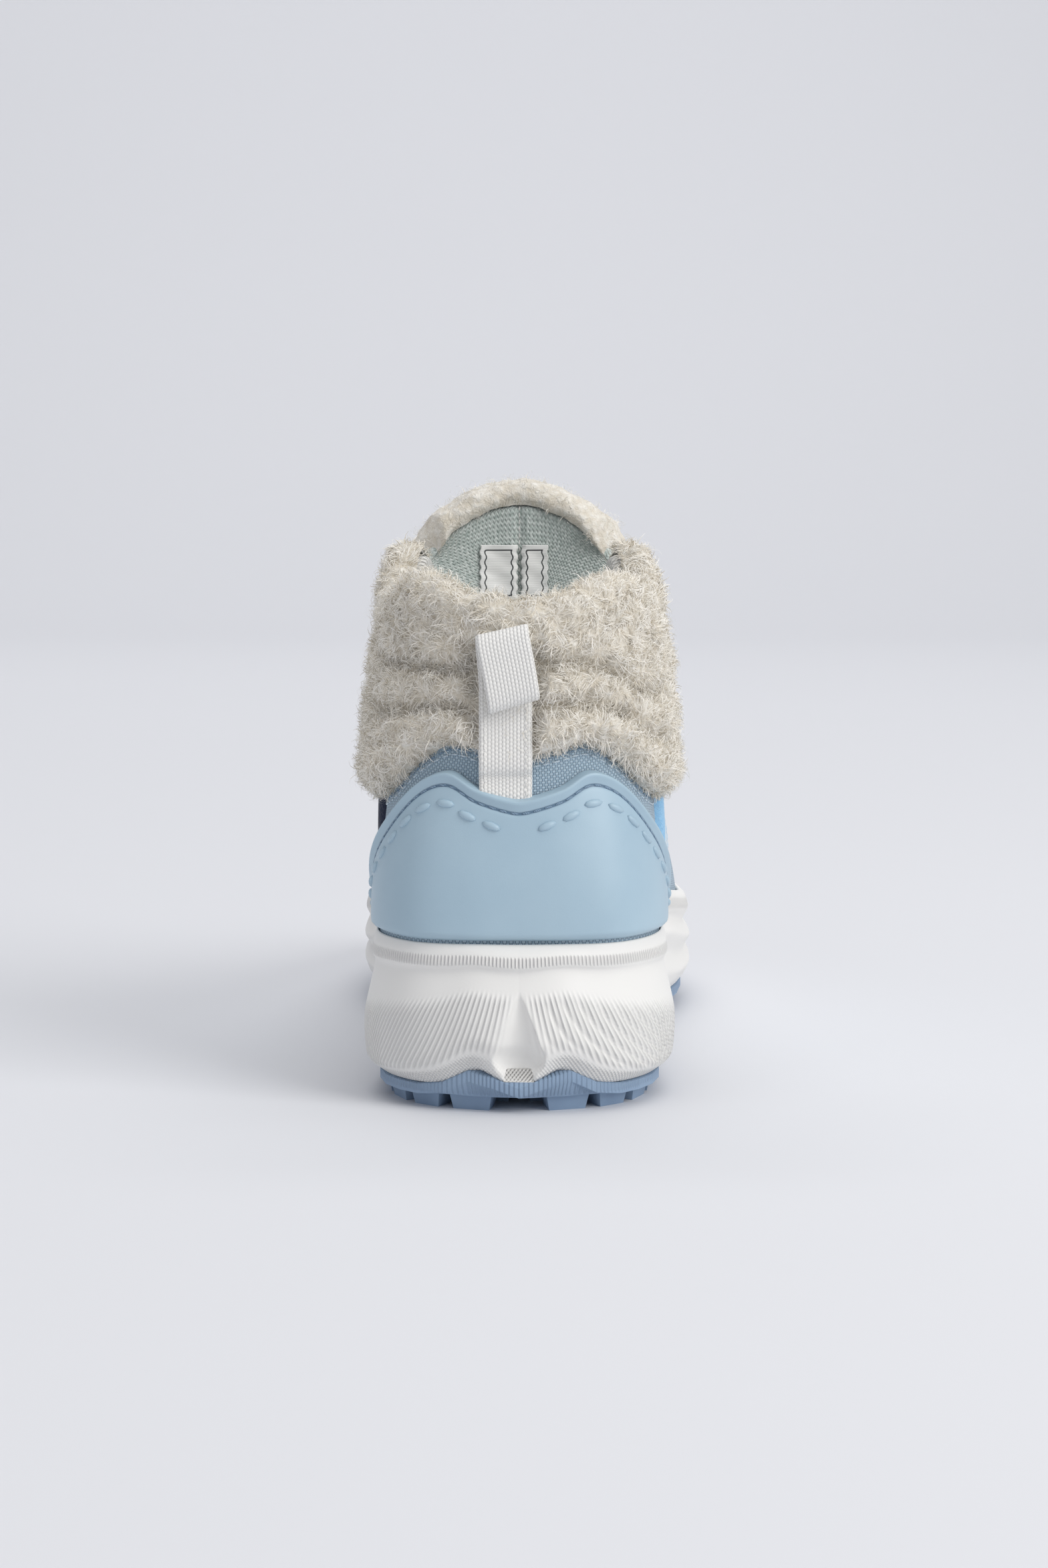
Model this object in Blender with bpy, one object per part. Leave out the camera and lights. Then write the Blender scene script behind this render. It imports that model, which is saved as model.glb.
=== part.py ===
"""A winter hiking shoe for the right foot: fleece-lined, mid-cut, laced, on a thick two-part sole.

Lengths are in millimetres. +Z is up, the toe points along +Y and the outer side of the foot is +X.
A way around the shoe is a number u: 0 at the back of the heel, 1 or -1 at the tip of the toe,
positive on the outer (lateral) side and negative on the inner (medial) side.
A way up the upper is a number v: 0 at the feather edge, 1 at the collar and throat edge.
"""

import math

import bmesh
import bpy
import numpy as np

MM = 0.001

# Sole
SOLE_LENGTH = 290.0
BALL_WIDTH = 104.0
HEEL_FOOTBED = 33.0
RIM_HEIGHT = 44.4
SOLE_EDGE = 6.6
TOE_SPRING = 12.0
HEEL_HUMP = 4.6
LUG_HEIGHT = 4.0
LUG_ROOT = 0.8
LUG_TAPER = 1.3
LUG_GROOVE = 3.4
LUG_INSET = 6.4
LUG_SLANT = 4.0
EDGE_LUG_PITCH = 17.0
EDGE_LUG_WIDTH = 9.0
MIDDLE_LUG_PITCH = 19.0
LIP_THICKNESS = 2.6
LIP_OUT = 0.5
FLUTE_TOP = 31.5
FLUTE_WIDTH = 14.5
INSOLE_THICKNESS = 4.0

# Upper
COLLAR_HEIGHT = 128.5
FEATHER_INSET = 5.0
CANVAS_WALL = 2.4
PADDED_WALL = 5.0
FLEECE_THICKNESS = 7.0
FLEECE_FRONT = 0.435
COUNTER_HEIGHT = 81.0
CANVAS_BAND = 11.0
FLEECE_LINE = COUNTER_HEIGHT + CANVAS_BAND
COUNTER_THICKNESS = 2.0
COUNTER_BEAD = 1.0
COUNTER_END = 0.275
OVERLAY_THICKNESS = 1.5
OVERLAY_SEAT = 0.7
OVERLAY_BACK = 0.292
OVERLAY_FRONT = 0.90
OVERLAY_MARGIN = 0.006
OVERLAY_STEP = 0.03
TRIM_WIDTH = 4.5
TRIM_THICKNESS = 2.6

# Tongue, laces and pull loop
TONGUE_THICKNESS = 5.0
TONGUE_TOP = 156.0
TONGUE_FLEECE = 8.5
TONGUE_NECK = 0.9
PILE_SEAT = 2.5
PILE_LIFT = 1.0
LACE_DIAMETER = 4.0
LACE_SIDESTEP = 3.2
LACE_OVERLAP = 0.4
EYELET_PAIRS = 6
EYELET_RADIUS = 2.3
EYELET_FIRST = 20.0
EYELET_PITCH = 13.0
EYELET_CUT = 6.0
WEBBING_WIDTH = 14.0
STRAP_OFFSET = -3.5
STRAP_SIDES = (STRAP_OFFSET - WEBBING_WIDTH / 2, STRAP_OFFSET + WEBBING_WIDTH / 2)
PRESSED_PILE = 1.8
LOOP_FOOT = 106.5
WEBBING_THICKNESS = 1.4
LOOP_HEIGHT = 18.0

# Clearances
GAP = 0.3
SOFT_GAP = 0.5
RIM_CLEARANCE = 1.0

# How finely the forms are divided
WAY_STEPS = 28
UPPER_ROWS = 9
INNER_ROWS = (0.0, 0.25, 0.5, 0.75, 0.875, 1.0)
WAY_CROWDING = 0.065

# Places around the shoe, as ways, and shares
HUMP_WAY, HUMP_SPREAD = 0.038, 0.022
HEEL_TUCK, HEEL_TUCK_SPREAD = 1.15, 0.07
TOE_TUCK, TOE_TUCK_SPREAD = 0.35, 0.12
FOLDS_FROM, FOLDS_REACH, FOLD_TURNS, FOLD_SLANT, FOLD_SHARE = 0.34, 0.56, 22.0, 0.8, 0.045
FLEECE_TOP_SHARE = 0.995
FLEECE_END_STEP = 0.012
EYELET_V = 0.935
WAY_STEP = 0.006

BALL_HALF = BALL_WIDTH / 2

# The sole's outline seen from above: along is a share of the sole's length,
# the two sides are shares of half the ball's width.
SOLE_OUTLINE = (
    # along, lateral, medial
    (0.012, 0.33, 0.33),
    (0.045, 0.62, 0.62),
    (0.115, 0.795, 0.795),
    (0.220, 0.805, 0.775),
    (0.340, 0.760, 0.690),
    (0.450, 0.805, 0.690),
    (0.560, 0.935, 0.815),
    (0.660, 1.035, 0.940),
    (0.760, 1.015, 0.945),
    (0.855, 0.885, 0.870),
    (0.925, 0.680, 0.730),
    (0.972, 0.420, 0.510),
    (0.993, 0.160, 0.270),
)
TOE_TIP = -0.05

# Heights along the sole, as shares of the heel's footbed, rim, edge and of the toe spring.
SOLE_HEIGHTS = (
    # along, footbed, rim, edge, ground
    (0.00, 1.00, 1.00, 1.10, 0.00),
    (0.10, 1.00, 1.01, 1.00, 0.00),
    (0.25, 0.98, 1.03, 1.00, 0.00),
    (0.40, 0.90, 1.00, 1.10, 0.16),
    (0.55, 0.74, 0.90, 1.10, 0.00),
    (0.68, 0.65, 0.80, 1.08, 0.00),
    (0.80, 0.64, 0.80, 1.40, 0.14),
    (0.90, 0.68, 0.86, 2.00, 0.46),
    (1.00, 0.76, 0.97, 2.95, 1.00),
)

# The midsole's side, from the rim's crest down to the bottom edge. Each pair is a height, as a share
# from the bottom edge to the rim, and how far it lies inside the outline, as a share of the half width.
MIDSOLE_SIDE = (
    # way, crest, rim foot, undercut, upper crease, middle, lower crease, chamfer, bottom edge
    (0.00, (0.92, 0.100), (0.83, 0.085), (0.79, 0.110), (0.57, 0.055),
     (0.42, 0.022), (0.28, 0.000), (0.14, 0.018), (0.0, 0.060)),
    (0.06, (0.92, 0.085), (0.83, 0.072), (0.79, 0.095), (0.53, 0.030),
     (0.37, 0.012), (0.21, 0.000), (0.10, 0.022), (0.0, 0.070)),
    (0.12, (0.92, 0.062), (0.83, 0.050), (0.78, 0.068), (0.46, 0.004),
     (0.28, 0.002), (0.11, 0.006), (0.06, 0.034), (0.0, 0.090)),
    (0.20, (0.91, 0.050), (0.81, 0.036), (0.76, 0.062), (0.40, 0.000),
     (0.27, 0.000), (0.12, 0.008), (0.06, 0.030), (0.0, 0.090)),
    (0.32, (0.95, 0.045), (0.84, 0.030), (0.76, 0.065), (0.50, 0.010),
     (0.38, 0.030), (0.22, 0.006), (0.10, 0.030), (0.0, 0.090)),
    (0.45, (0.94, 0.040), (0.81, 0.025), (0.71, 0.062), (0.56, 0.010),
     (0.42, 0.050), (0.25, 0.006), (0.10, 0.034), (0.0, 0.085)),
    (0.58, (0.93, 0.040), (0.79, 0.016), (0.67, 0.060), (0.53, 0.006),
     (0.39, 0.052), (0.22, 0.006), (0.09, 0.034), (0.0, 0.075)),
    (0.72, (0.92, 0.036), (0.77, 0.014), (0.66, 0.056), (0.52, 0.004),
     (0.38, 0.048), (0.22, 0.006), (0.09, 0.032), (0.0, 0.070)),
    (0.87, (0.93, 0.045), (0.79, 0.022), (0.68, 0.056), (0.54, 0.010),
     (0.40, 0.044), (0.24, 0.008), (0.10, 0.028), (0.0, 0.066)),
    (1.00, (0.94, 0.070), (0.81, 0.040), (0.69, 0.066), (0.55, 0.018),
     (0.41, 0.044), (0.25, 0.010), (0.10, 0.028), (0.0, 0.062)),
)

# The collar and throat edge: along is a share of the sole's length, across of half the ball's width,
# and height of the collar's height at the back.
TOP_EDGE = (
    # along, across, height
    (0.074, 0.00, 1.000),
    (0.093, 0.26, 1.020),
    (0.138, 0.45, 1.052),
    (0.205, 0.565, 1.005),
    (0.260, 0.61, 0.962),
    (0.305, 0.61, 1.030),
    (0.338, 0.575, 1.098),
    (0.374, 0.48, 1.030),
    (0.425, 0.375, 0.905),
    (0.515, 0.305, 0.750),
    (0.605, 0.245, 0.620),
    (0.636, 0.10, 0.578),
    (0.641, 0.00, 0.570),
)

# The upper's wall from the feather edge to the top edge. The way along the top edge goes with the way
# around the sole. Outward pulls are shares of the half width, upward pulls shares of the wall's height.
UPPER_STATIONS = (
    # way, top edge way, low out, low up, high out, high down
    (0.00, 0.00, 0.080, 0.34, 0.075, 0.32),
    (0.10, 0.085, 0.080, 0.34, 0.080, 0.32),
    (0.20, 0.190, 0.075, 0.32, 0.090, 0.34),
    (0.30, 0.315, 0.070, 0.32, 0.110, 0.36),
    (0.40, 0.440, 0.070, 0.30, 0.190, 0.38),
    (0.50, 0.590, 0.070, 0.30, 0.290, 0.24),
    (0.60, 0.730, 0.065, 0.32, 0.330, 0.14),
    (0.70, 0.850, 0.055, 0.40, 0.380, 0.06),
    (0.80, 0.925, 0.045, 0.46, 0.480, 0.06),
    (0.90, 0.968, 0.035, 0.52, 0.640, 0.12),
    (1.00, 1.000, 0.030, 0.56, 0.740, 0.16),
)

# Heights around the heel and ankle, at ways around: the counter's edge as a share of its rise above the rim
# at the back, and the fleece's lower edge as a share of its height there.
COUNTER_EDGE = (
    (0.0, 1.0), (0.045, 1.10), (0.076, 1.21), (0.105, 1.125),
    (0.15, 0.80), (0.20, 0.45), (0.25, 0.18), (0.30, 0.05),
)
FLEECE_EDGE = (
    (0.0, 1.0), (0.045, 1.022), (0.078, 1.038), (0.11, 0.995), (0.16, 0.895),
    (0.22, 0.862), (0.31, 0.872), (0.38, 0.955), (0.44, 1.13),
)

# The rolls of the fleece collar: heights of the two grooves, as shares of the collar's height at the back,
# at ways around the inner side (negative) and the outer side.
FLEECE_GROOVES = (
    # way, lower groove, upper groove
    (-0.44, 0.865, 0.975),
    (-0.22, 0.790, 0.900),
    (-0.10, 0.808, 0.893),
    (0.00, 0.812, 0.898),
    (0.09, 0.812, 0.896),
    (0.17, 0.735, 0.830),
    (0.30, 0.730, 0.850),
    (0.44, 0.880, 0.985),
)
GROOVE_DEPTH = 0.42
GROOVE_WIDTH = 3.2

# The tongue above the eyestays, as shares of its rise: how far up and forward each section lies,
# its width as a share of the last section's, and the share of its height that its edges lack.
TONGUE_RISE = (
    # up, forward, width, arch
    (0.00, 0.00, 1.00, 0.00),
    (0.22, 0.06, 1.18, 0.00),
    (0.45, 0.10, 1.50, 0.04),
    (0.72, 0.11, 1.70, 0.13),
    (1.00, 0.09, 1.68, 0.27),
)

# The loop at the top of the strap, as shares of its height: away from the shoe, up and across,
# and how far its right side is tilted up, in degrees.
LOOP_SHAPE = (
    # away, up, across, tilt
    (0.02, 0.18, 0.00, 2.0),
    (0.05, 0.50, -0.02, 5.0),
    (0.03, 0.82, -0.05, 9.0),
    (-0.06, 0.98, -0.06, 12.0),
    (-0.19, 1.00, -0.05, 13.0),
    (-0.29, 0.85, -0.03, 13.0),
    (-0.34, 0.50, 0.04, 15.0),
    (-0.37, 0.16, 0.10, 17.0),
    (-0.33, 0.02, 0.12, 17.0),
    (-0.22, -0.04, 0.12, 16.0),
)

# Colours, linear, of the real materials
MATERIALS = {
    # name: (red, green, blue, roughness)
    "outsole_rubber": (0.26, 0.41, 0.58, 0.60),
    "midsole_foam": (0.86, 0.86, 0.84, 0.55),
    "insole_knit": (0.75, 0.80, 0.77, 0.90),
    "canvas": (0.36, 0.46, 0.56, 0.85),
    "counter_rubber": (0.38, 0.52, 0.62, 0.45),
    "fleece": (0.84, 0.80, 0.72, 0.95),
    "suede": (0.62, 0.74, 0.82, 0.90),
    "trim_lateral_felt": (0.34, 0.64, 0.90, 0.90),
    "trim_medial_felt": (0.03, 0.035, 0.06, 0.90),
    "lining_knit": (0.70, 0.76, 0.73, 0.90),
    "webbing": (0.86, 0.86, 0.84, 0.70),
    "lace_cord": (0.84, 0.84, 0.82, 0.80),
}


def smooth_between(rows, at, column=1):
    """A column of a table, read between its rows along a curve that keeps each row's slope."""
    xs = [row[0] for row in rows]
    ys = [row[column] for row in rows]
    at = min(max(at, xs[0]), xs[-1])
    k = min(max(int(np.searchsorted(xs, at)) - 1, 0), len(xs) - 2)

    def slope(i):
        lo, hi = max(i - 1, 0), min(i + 1, len(xs) - 1)
        return (ys[hi] - ys[lo]) / (xs[hi] - xs[lo])

    step = xs[k + 1] - xs[k]
    t = (at - xs[k]) / step
    return (
        (2 * t**3 - 3 * t**2 + 1) * ys[k]
        + (t**3 - 2 * t**2 + t) * step * slope(k)
        + (3 * t**2 - 2 * t**3) * ys[k + 1]
        + (t**3 - t**2) * step * slope(k + 1)
    )


def curve_through(points, closed, per_span=24):
    """Points along a curve that passes through each of the given ones."""
    points = np.asarray(points, float)
    count = len(points)
    spans = count if closed else count - 1
    found = []
    for k in range(spans):
        if closed:
            a, b, c, d = (points[(k + j) % count] for j in (-1, 0, 1, 2))
        else:
            a, b, c, d = (points[min(max(k + j, 0), count - 1)] for j in (-1, 0, 1, 2))
        for t in np.arange(per_span) / per_span:
            found.append(
                0.5 * (2 * b + (c - a) * t + (2 * a - 5 * b + 4 * c - d) * t**2 + (3 * b - a - 3 * c + d) * t**3)
            )
    if not closed:
        found.append(points[-1])
    return np.array(found)


def ways_of(line):
    """How far along a line each of its points lies, from 0 to 1."""
    steps = np.linalg.norm(np.diff(line, axis=0), axis=1)
    run = np.concatenate([[0.0], np.cumsum(steps)])
    return run / run[-1]


def at_way(line, ways, way):
    """The point at a share of a line's length."""
    return np.array([np.interp(way, ways, line[:, k]) for k in range(line.shape[1])])


def sole_sides():
    """The sole's outline from the heel's back to the toe's tip, along the lateral and the medial side."""
    lateral = [(x * BALL_HALF, along * SOLE_LENGTH) for along, x, _ in SOLE_OUTLINE]
    medial = [(-x * BALL_HALF, along * SOLE_LENGTH) for along, _, x in SOLE_OUTLINE]
    ring = [(0.0, 0.0), *lateral, (TOE_TIP * BALL_HALF, SOLE_LENGTH), *reversed(medial)]
    line = curve_through(ring, closed=True)
    toe = int(np.argmax(line[:, 1]))
    return line[: toe + 1], np.vstack([line[:1], line[:toe:-1], line[toe : toe + 1]])


def edge_side():
    """The collar and throat edge from the back to the throat's front, on the +X side."""
    rows = [(across * BALL_HALF, along * SOLE_LENGTH, up * COLLAR_HEIGHT) for along, across, up in TOP_EDGE]
    mirrored = [(-x, y, z) for x, y, z in rows[1:3]]
    line = curve_through([*reversed(mirrored), *rows], closed=False)
    return line[np.argmin(np.linalg.norm(line - np.array(rows[0]), axis=1)) :]


LATERAL, MEDIAL = sole_sides()
LATERAL_WAYS, MEDIAL_WAYS = ways_of(LATERAL), ways_of(MEDIAL)
LATERAL_LENGTH = float(np.linalg.norm(np.diff(LATERAL, axis=0), axis=1).sum())
EDGE = edge_side()
EDGE_WAYS = ways_of(EDGE)
EDGE_LENGTH = float(np.linalg.norm(np.diff(EDGE, axis=0), axis=1).sum())


def wrapped(u):
    return (u + 1.0) % 2.0 - 1.0 if abs(u) > 1.0 else u


def outline(u, inset=0.0):
    """A point of the sole's outline seen from above, moved inwards by an inset."""
    u = wrapped(u)

    def on_line(way):
        way = wrapped(way)
        return at_way(LATERAL, LATERAL_WAYS, way) if way >= 0 else at_way(MEDIAL, MEDIAL_WAYS, -way)

    ahead = on_line(u + WAY_STEP) - on_line(u - WAY_STEP)
    outward = np.array([ahead[1], -ahead[0]]) / np.linalg.norm(ahead)
    return on_line(u) - outward * inset, outward


def sole_height(y, column):
    return smooth_between(SOLE_HEIGHTS, y / SOLE_LENGTH, column)


def footbed(y):
    return HEEL_FOOTBED * sole_height(y, 1)


def rim(y):
    return RIM_HEIGHT * sole_height(y, 2)


def ground(y):
    return TOE_SPRING * max(sole_height(y, 4), 0.0)


def sole_edge(u, y):
    """The height where midsole and outsole meet, with the two humps at the back of the heel."""
    hump = HEEL_HUMP * math.exp(-(((abs(u) - HUMP_WAY) / HUMP_SPREAD) ** 2))
    return SOLE_EDGE * sole_height(y, 3) + hump


def feather_inset(u):
    """How far the upper's foot lies inside the sole's outline."""
    back = HEEL_TUCK * math.exp(-((u / HEEL_TUCK_SPREAD) ** 2))
    toe = TOE_TUCK * math.exp(-(((1 - abs(u)) / TOE_TUCK_SPREAD) ** 2))
    return FEATHER_INSET * (1.0 + back + toe)


def upper_frame(u):
    """The four points that steer the wall's curve at one way around the shoe."""
    u = wrapped(u)
    way = abs(u)
    foot, outward = outline(u, feather_inset(u))
    edge = at_way(EDGE, EDGE_WAYS, smooth_between(UPPER_STATIONS, way, 1))
    if u < 0:
        edge = edge * (-1, 1, 1)
    foot = np.array([*foot, footbed(foot[1]) + GAP])
    out = np.array([*outward, 0.0])
    up = np.array([0.0, 0.0, edge[2] - foot[2]])
    low_out, low_up, high_out, high_down = (smooth_between(UPPER_STATIONS, way, k) for k in (2, 3, 4, 5))
    low = foot + out * low_out * BALL_HALF + up * low_up
    high = edge + out * high_out * BALL_HALF - up * high_down
    return foot, low, high, edge


def wall_curve(u, v):
    foot, low, high, edge = upper_frame(u)
    w = 1.0 - v
    return foot * w**3 + low * 3 * w * w * v + high * 3 * w * v * v + edge * v**3


def upper_point(u, v, out=0.0):
    """A point of the upper's outer face, or a distance outside it and the facets that it is made of."""
    point = wall_curve(u, v)
    if out == 0.0:
        return point
    along = wall_curve(u + WAY_STEP, v) - wall_curve(u - WAY_STEP, v)
    above = wall_curve(u, min(v + 0.01, 1.0)) - wall_curve(u, max(v - 0.01, 0.0))
    normal = np.cross(along, above)
    normal /= np.linalg.norm(normal)
    if out > 0.0:
        row = min(int(v * (UPPER_ROWS - 1)), UPPER_ROWS - 2)
        low, high = row / (UPPER_ROWS - 1), (row + 1) / (UPPER_ROWS - 1)
        share = (v - low) / (high - low)
        facet = wall_curve(u, low) * (1 - share) + wall_curve(u, high) * share
        out += max(float(np.dot(facet - point, normal)), 0.0)
    return point + normal * out


def v_at_height(u, height):
    """How far up the wall a height lies."""
    low, high = 0.0, 1.0
    for _ in range(24):
        middle = (low + high) / 2
        if wall_curve(u, middle)[2] < height:
            low = middle
        else:
            high = middle
    return (low + high) / 2


def way_list():
    """The shared ways from heel to toe, closer together at both ends."""
    t = np.arange(WAY_STEPS + 1) / WAY_STEPS
    return t - WAY_CROWDING * np.sin(2 * math.pi * t)


WAYS = way_list()
RING = [*WAYS, *(-WAYS[-2:0:-1])]


def ways_between(start, end):
    """The shared ways between two ends, with the ends themselves."""
    both = np.concatenate([-WAYS[:0:-1], WAYS])
    spare = (end - start) / 200
    return [start, *(w for w in both if start + spare < w < end - spare), end]


def material(name):
    found = bpy.data.materials.get(name)
    if found is None:
        found = bpy.data.materials.new(name)
        found.use_nodes = True
        red, green, blue, roughness = MATERIALS[name]
        shader = found.node_tree.nodes["Principled BSDF"]
        shader.inputs["Base Color"].default_value = (red, green, blue, 1.0)
        shader.inputs["Roughness"].default_value = roughness
        shader.inputs["Metallic"].default_value = 0.0
    return found


def add_solid(name, points, faces, material_name, sharp=35.0):
    """A closed mesh object from points in millimetres."""
    mesh = bpy.data.meshes.new(name)
    mesh.from_pydata([tuple(float(c) * MM for c in p) for p in points], [], faces)
    solid = bmesh.new()
    solid.from_mesh(mesh)
    bmesh.ops.remove_doubles(solid, verts=solid.verts, dist=0.00001)
    bmesh.ops.recalc_face_normals(solid, faces=solid.faces)
    solid.to_mesh(mesh)
    solid.free()
    mesh.shade_smooth()
    mesh.set_sharp_from_angle(angle=math.radians(sharp))
    obj = bpy.data.objects.new(name, mesh)
    bpy.context.scene.collection.objects.link(obj)
    if material_name:
        mesh.materials.append(material(material_name))
    return obj


def ring_faces(rows, columns, closed_rows=False, start=0):
    """Quads between rings of points that follow one another."""
    faces = []
    for r in range(rows if closed_rows else rows - 1):
        below, above = start + r * columns, start + ((r + 1) % rows) * columns
        for c in range(columns):
            d = (c + 1) % columns
            faces.append((below + c, below + d, above + d, above + c))
    return faces


def cap_faces(columns, start=0):
    """Faces straight across a ring of the sole, from the lateral to the medial side."""
    half = columns // 2
    faces = [(start, start + 1, start + columns - 1)]
    for c in range(1, half - 1):
        faces.append((start + c, start + c + 1, start + columns - c - 1, start + columns - c))
    faces.append((start + half - 1, start + half, start + half + 1))
    return faces


def capped_rings(rings):
    """Points and faces of a stack of rings, closed straight across at both ends."""
    columns = len(rings[0])
    points = [p for ring in rings for p in ring]
    faces = ring_faces(len(rings), columns)
    faces += cap_faces(columns) + cap_faces(columns, (len(rings) - 1) * columns)
    return points, faces


def slab(outer, inner):
    """Points and faces of a patch with a thickness, from two grids of the same size."""
    rows, columns = len(outer), len(outer[0])
    points = [p for row in outer for p in row] + [p for row in inner for p in row]
    back = rows * columns
    faces = []
    for r in range(rows - 1):
        for c in range(columns - 1):
            a, b = r * columns + c, (r + 1) * columns + c
            faces += [(a, a + 1, b + 1, b), (back + a, back + b, back + b + 1, back + a + 1)]
    rim_line = [c for c in range(columns)]
    rim_line += [r * columns + columns - 1 for r in range(1, rows)]
    rim_line += [(rows - 1) * columns + c for c in range(columns - 2, -1, -1)]
    rim_line += [r * columns for r in range(rows - 2, 0, -1)]
    for a, b in zip(rim_line, rim_line[1:] + rim_line[:1]):
        faces.append((a, back + a, back + b, b))
    return points, faces


def boolean(target, cutter, operation, pieces_meet=False):
    """Joins or cuts with a helper object, which is then hidden."""
    modifier = target.modifiers.new(operation.title(), "BOOLEAN")
    modifier.operation = operation
    modifier.object = cutter
    modifier.use_self = pieces_meet
    cutter.hide_render = True
    cutter.display_type = "WIRE"


# Midsole: one block of foam, with a dish for the upper, a rim around it and creased or rolled sides.
def midsole_side(u):
    """Where the midsole's side turns, from the rim's crest down to the bottom edge."""
    way = abs(wrapped(u))
    line = []
    for column in range(1, len(MIDSOLE_SIDE[0])):
        height = smooth_between([(row[0], row[column][0]) for row in MIDSOLE_SIDE], way)
        inset = smooth_between([(row[0], row[column][1]) for row in MIDSOLE_SIDE], way)
        fold = math.sin(math.pi * min(max((way - FOLDS_FROM) / FOLDS_REACH, 0.0), 1.0))
        if 2 < column < 7:
            height += FOLD_SHARE * fold * math.sin(FOLD_TURNS * way + FOLD_SLANT * column)
        (x, y), _ = outline(u, inset * BALL_HALF)
        low = sole_edge(u, y)
        line.append(np.array([x, y, low + (rim(y) - low) * height]))
    return line


def dish_point(u, height_share):
    """A point of the dish's wall, just outside the upper."""
    foot = upper_point(u, 0.0)
    top = rim(foot[1])
    height = foot[2] + (top - foot[2]) * height_share
    return upper_point(u, v_at_height(u, height), GAP)


def build_midsole():
    floor = []
    for u in RING:
        point = upper_point(u, 0.0, GAP)
        floor.append(np.array([point[0], point[1], footbed(point[1])]))
    rings = [floor, [dish_point(u, 0.5) for u in RING], [dish_point(u, 1.0) for u in RING]]
    sides = [midsole_side(u) for u in RING]
    rings += [[side[k] for side in sides] for k in range(len(sides[0]))]
    midsole = add_solid("midsole", *capped_rings(rings), "midsole_foam", 28.0)
    boolean(midsole, heel_flute(), "DIFFERENCE")
    return midsole


def heel_flute():
    """The cutter of the smooth hollow at the middle of the heel's back, pointed above and round below."""
    foot = sole_edge(0.0, 0.0)
    rise = FLUTE_TOP - foot
    profile = ((0.14, 0.66), (0.20, 0.90), (0.30, 1.0), (0.45, 0.80), (0.68, 0.50), (0.88, 0.22), (1.0, 0.05))
    sides = 20
    rings = []
    for share, wide in profile:
        radius = wide * FLUTE_WIDTH / 2
        back = midsole_back(foot + share * rise)
        centre = back - 0.30 * radius
        turn = [2 * math.pi * k / sides for k in range(sides)]
        rings.append([(radius * math.sin(a), centre - radius * math.cos(a), foot + share * rise) for a in turn])
    points = [p for ring in rings for p in ring]
    faces = ring_faces(len(rings), sides)
    faces += [tuple(range(sides)), tuple(range((len(rings) - 1) * sides, len(rings) * sides))]
    return add_solid("heel_flute_cutter", points, faces, None)


def midsole_back(height):
    """How far forward the midsole's back lies at a height, in the middle of the heel."""
    side = midsole_side(0.0)
    return float(np.interp(height, [p[2] for p in reversed(side)], [p[1] for p in reversed(side)]))


# Outsole: a rubber sheet under the midsole with a lip around it, and the lugs moulded on.
def build_outsole():
    seat, top, lip, base = [], [], [], []
    for u in RING:
        edge = midsole_side(u)[-1]
        low, out = edge[2] - 2 * GAP, outline(u)[1]
        lip_point = edge[:2] + out * LIP_OUT
        seat.append(np.array([*edge[:2], edge[2] - GAP]))
        top.append(np.array([*lip_point, low]))
        lip.append(np.array([*lip_point, low - LIP_THICKNESS]))
        inner = lip_point - out * 2.2
        base.append(np.array([*inner, min(low - LIP_THICKNESS, ground(inner[1]) + LUG_HEIGHT)]))
    outsole = add_solid("outsole", *capped_rings([seat, top, lip, base]), "outsole_rubber", 25.0)
    boolean(outsole, build_lugs(), "UNION", pieces_meet=True)
    return outsole


def block(foot, head, points, faces):
    """Adds a tapered block from the four corners of its foot and the four of its head."""
    start = len(points)
    points += [*foot, *head]
    sides = ((3, 2, 1, 0), (4, 5, 6, 7), (0, 1, 5, 4), (1, 2, 6, 5), (2, 3, 7, 6), (3, 0, 4, 7))
    faces += [tuple(start + c for c in side) for side in sides]


def lug_ends(corners):
    """A lug's flat foot on the ground and its wider head in the sole, from its corners seen from above."""
    corners = [np.array(c) for c in corners]
    middle = sum(corners) / 4
    foot, head = [], []
    for corner in corners:
        inward = (middle - corner) / np.linalg.norm(middle - corner)
        x, y = corner + inward * LUG_TAPER
        foot.append((x, y, ground(y)))
        head.append((*corner, ground(corner[1]) + LUG_HEIGHT + LUG_ROOT))
    return foot, head


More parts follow.
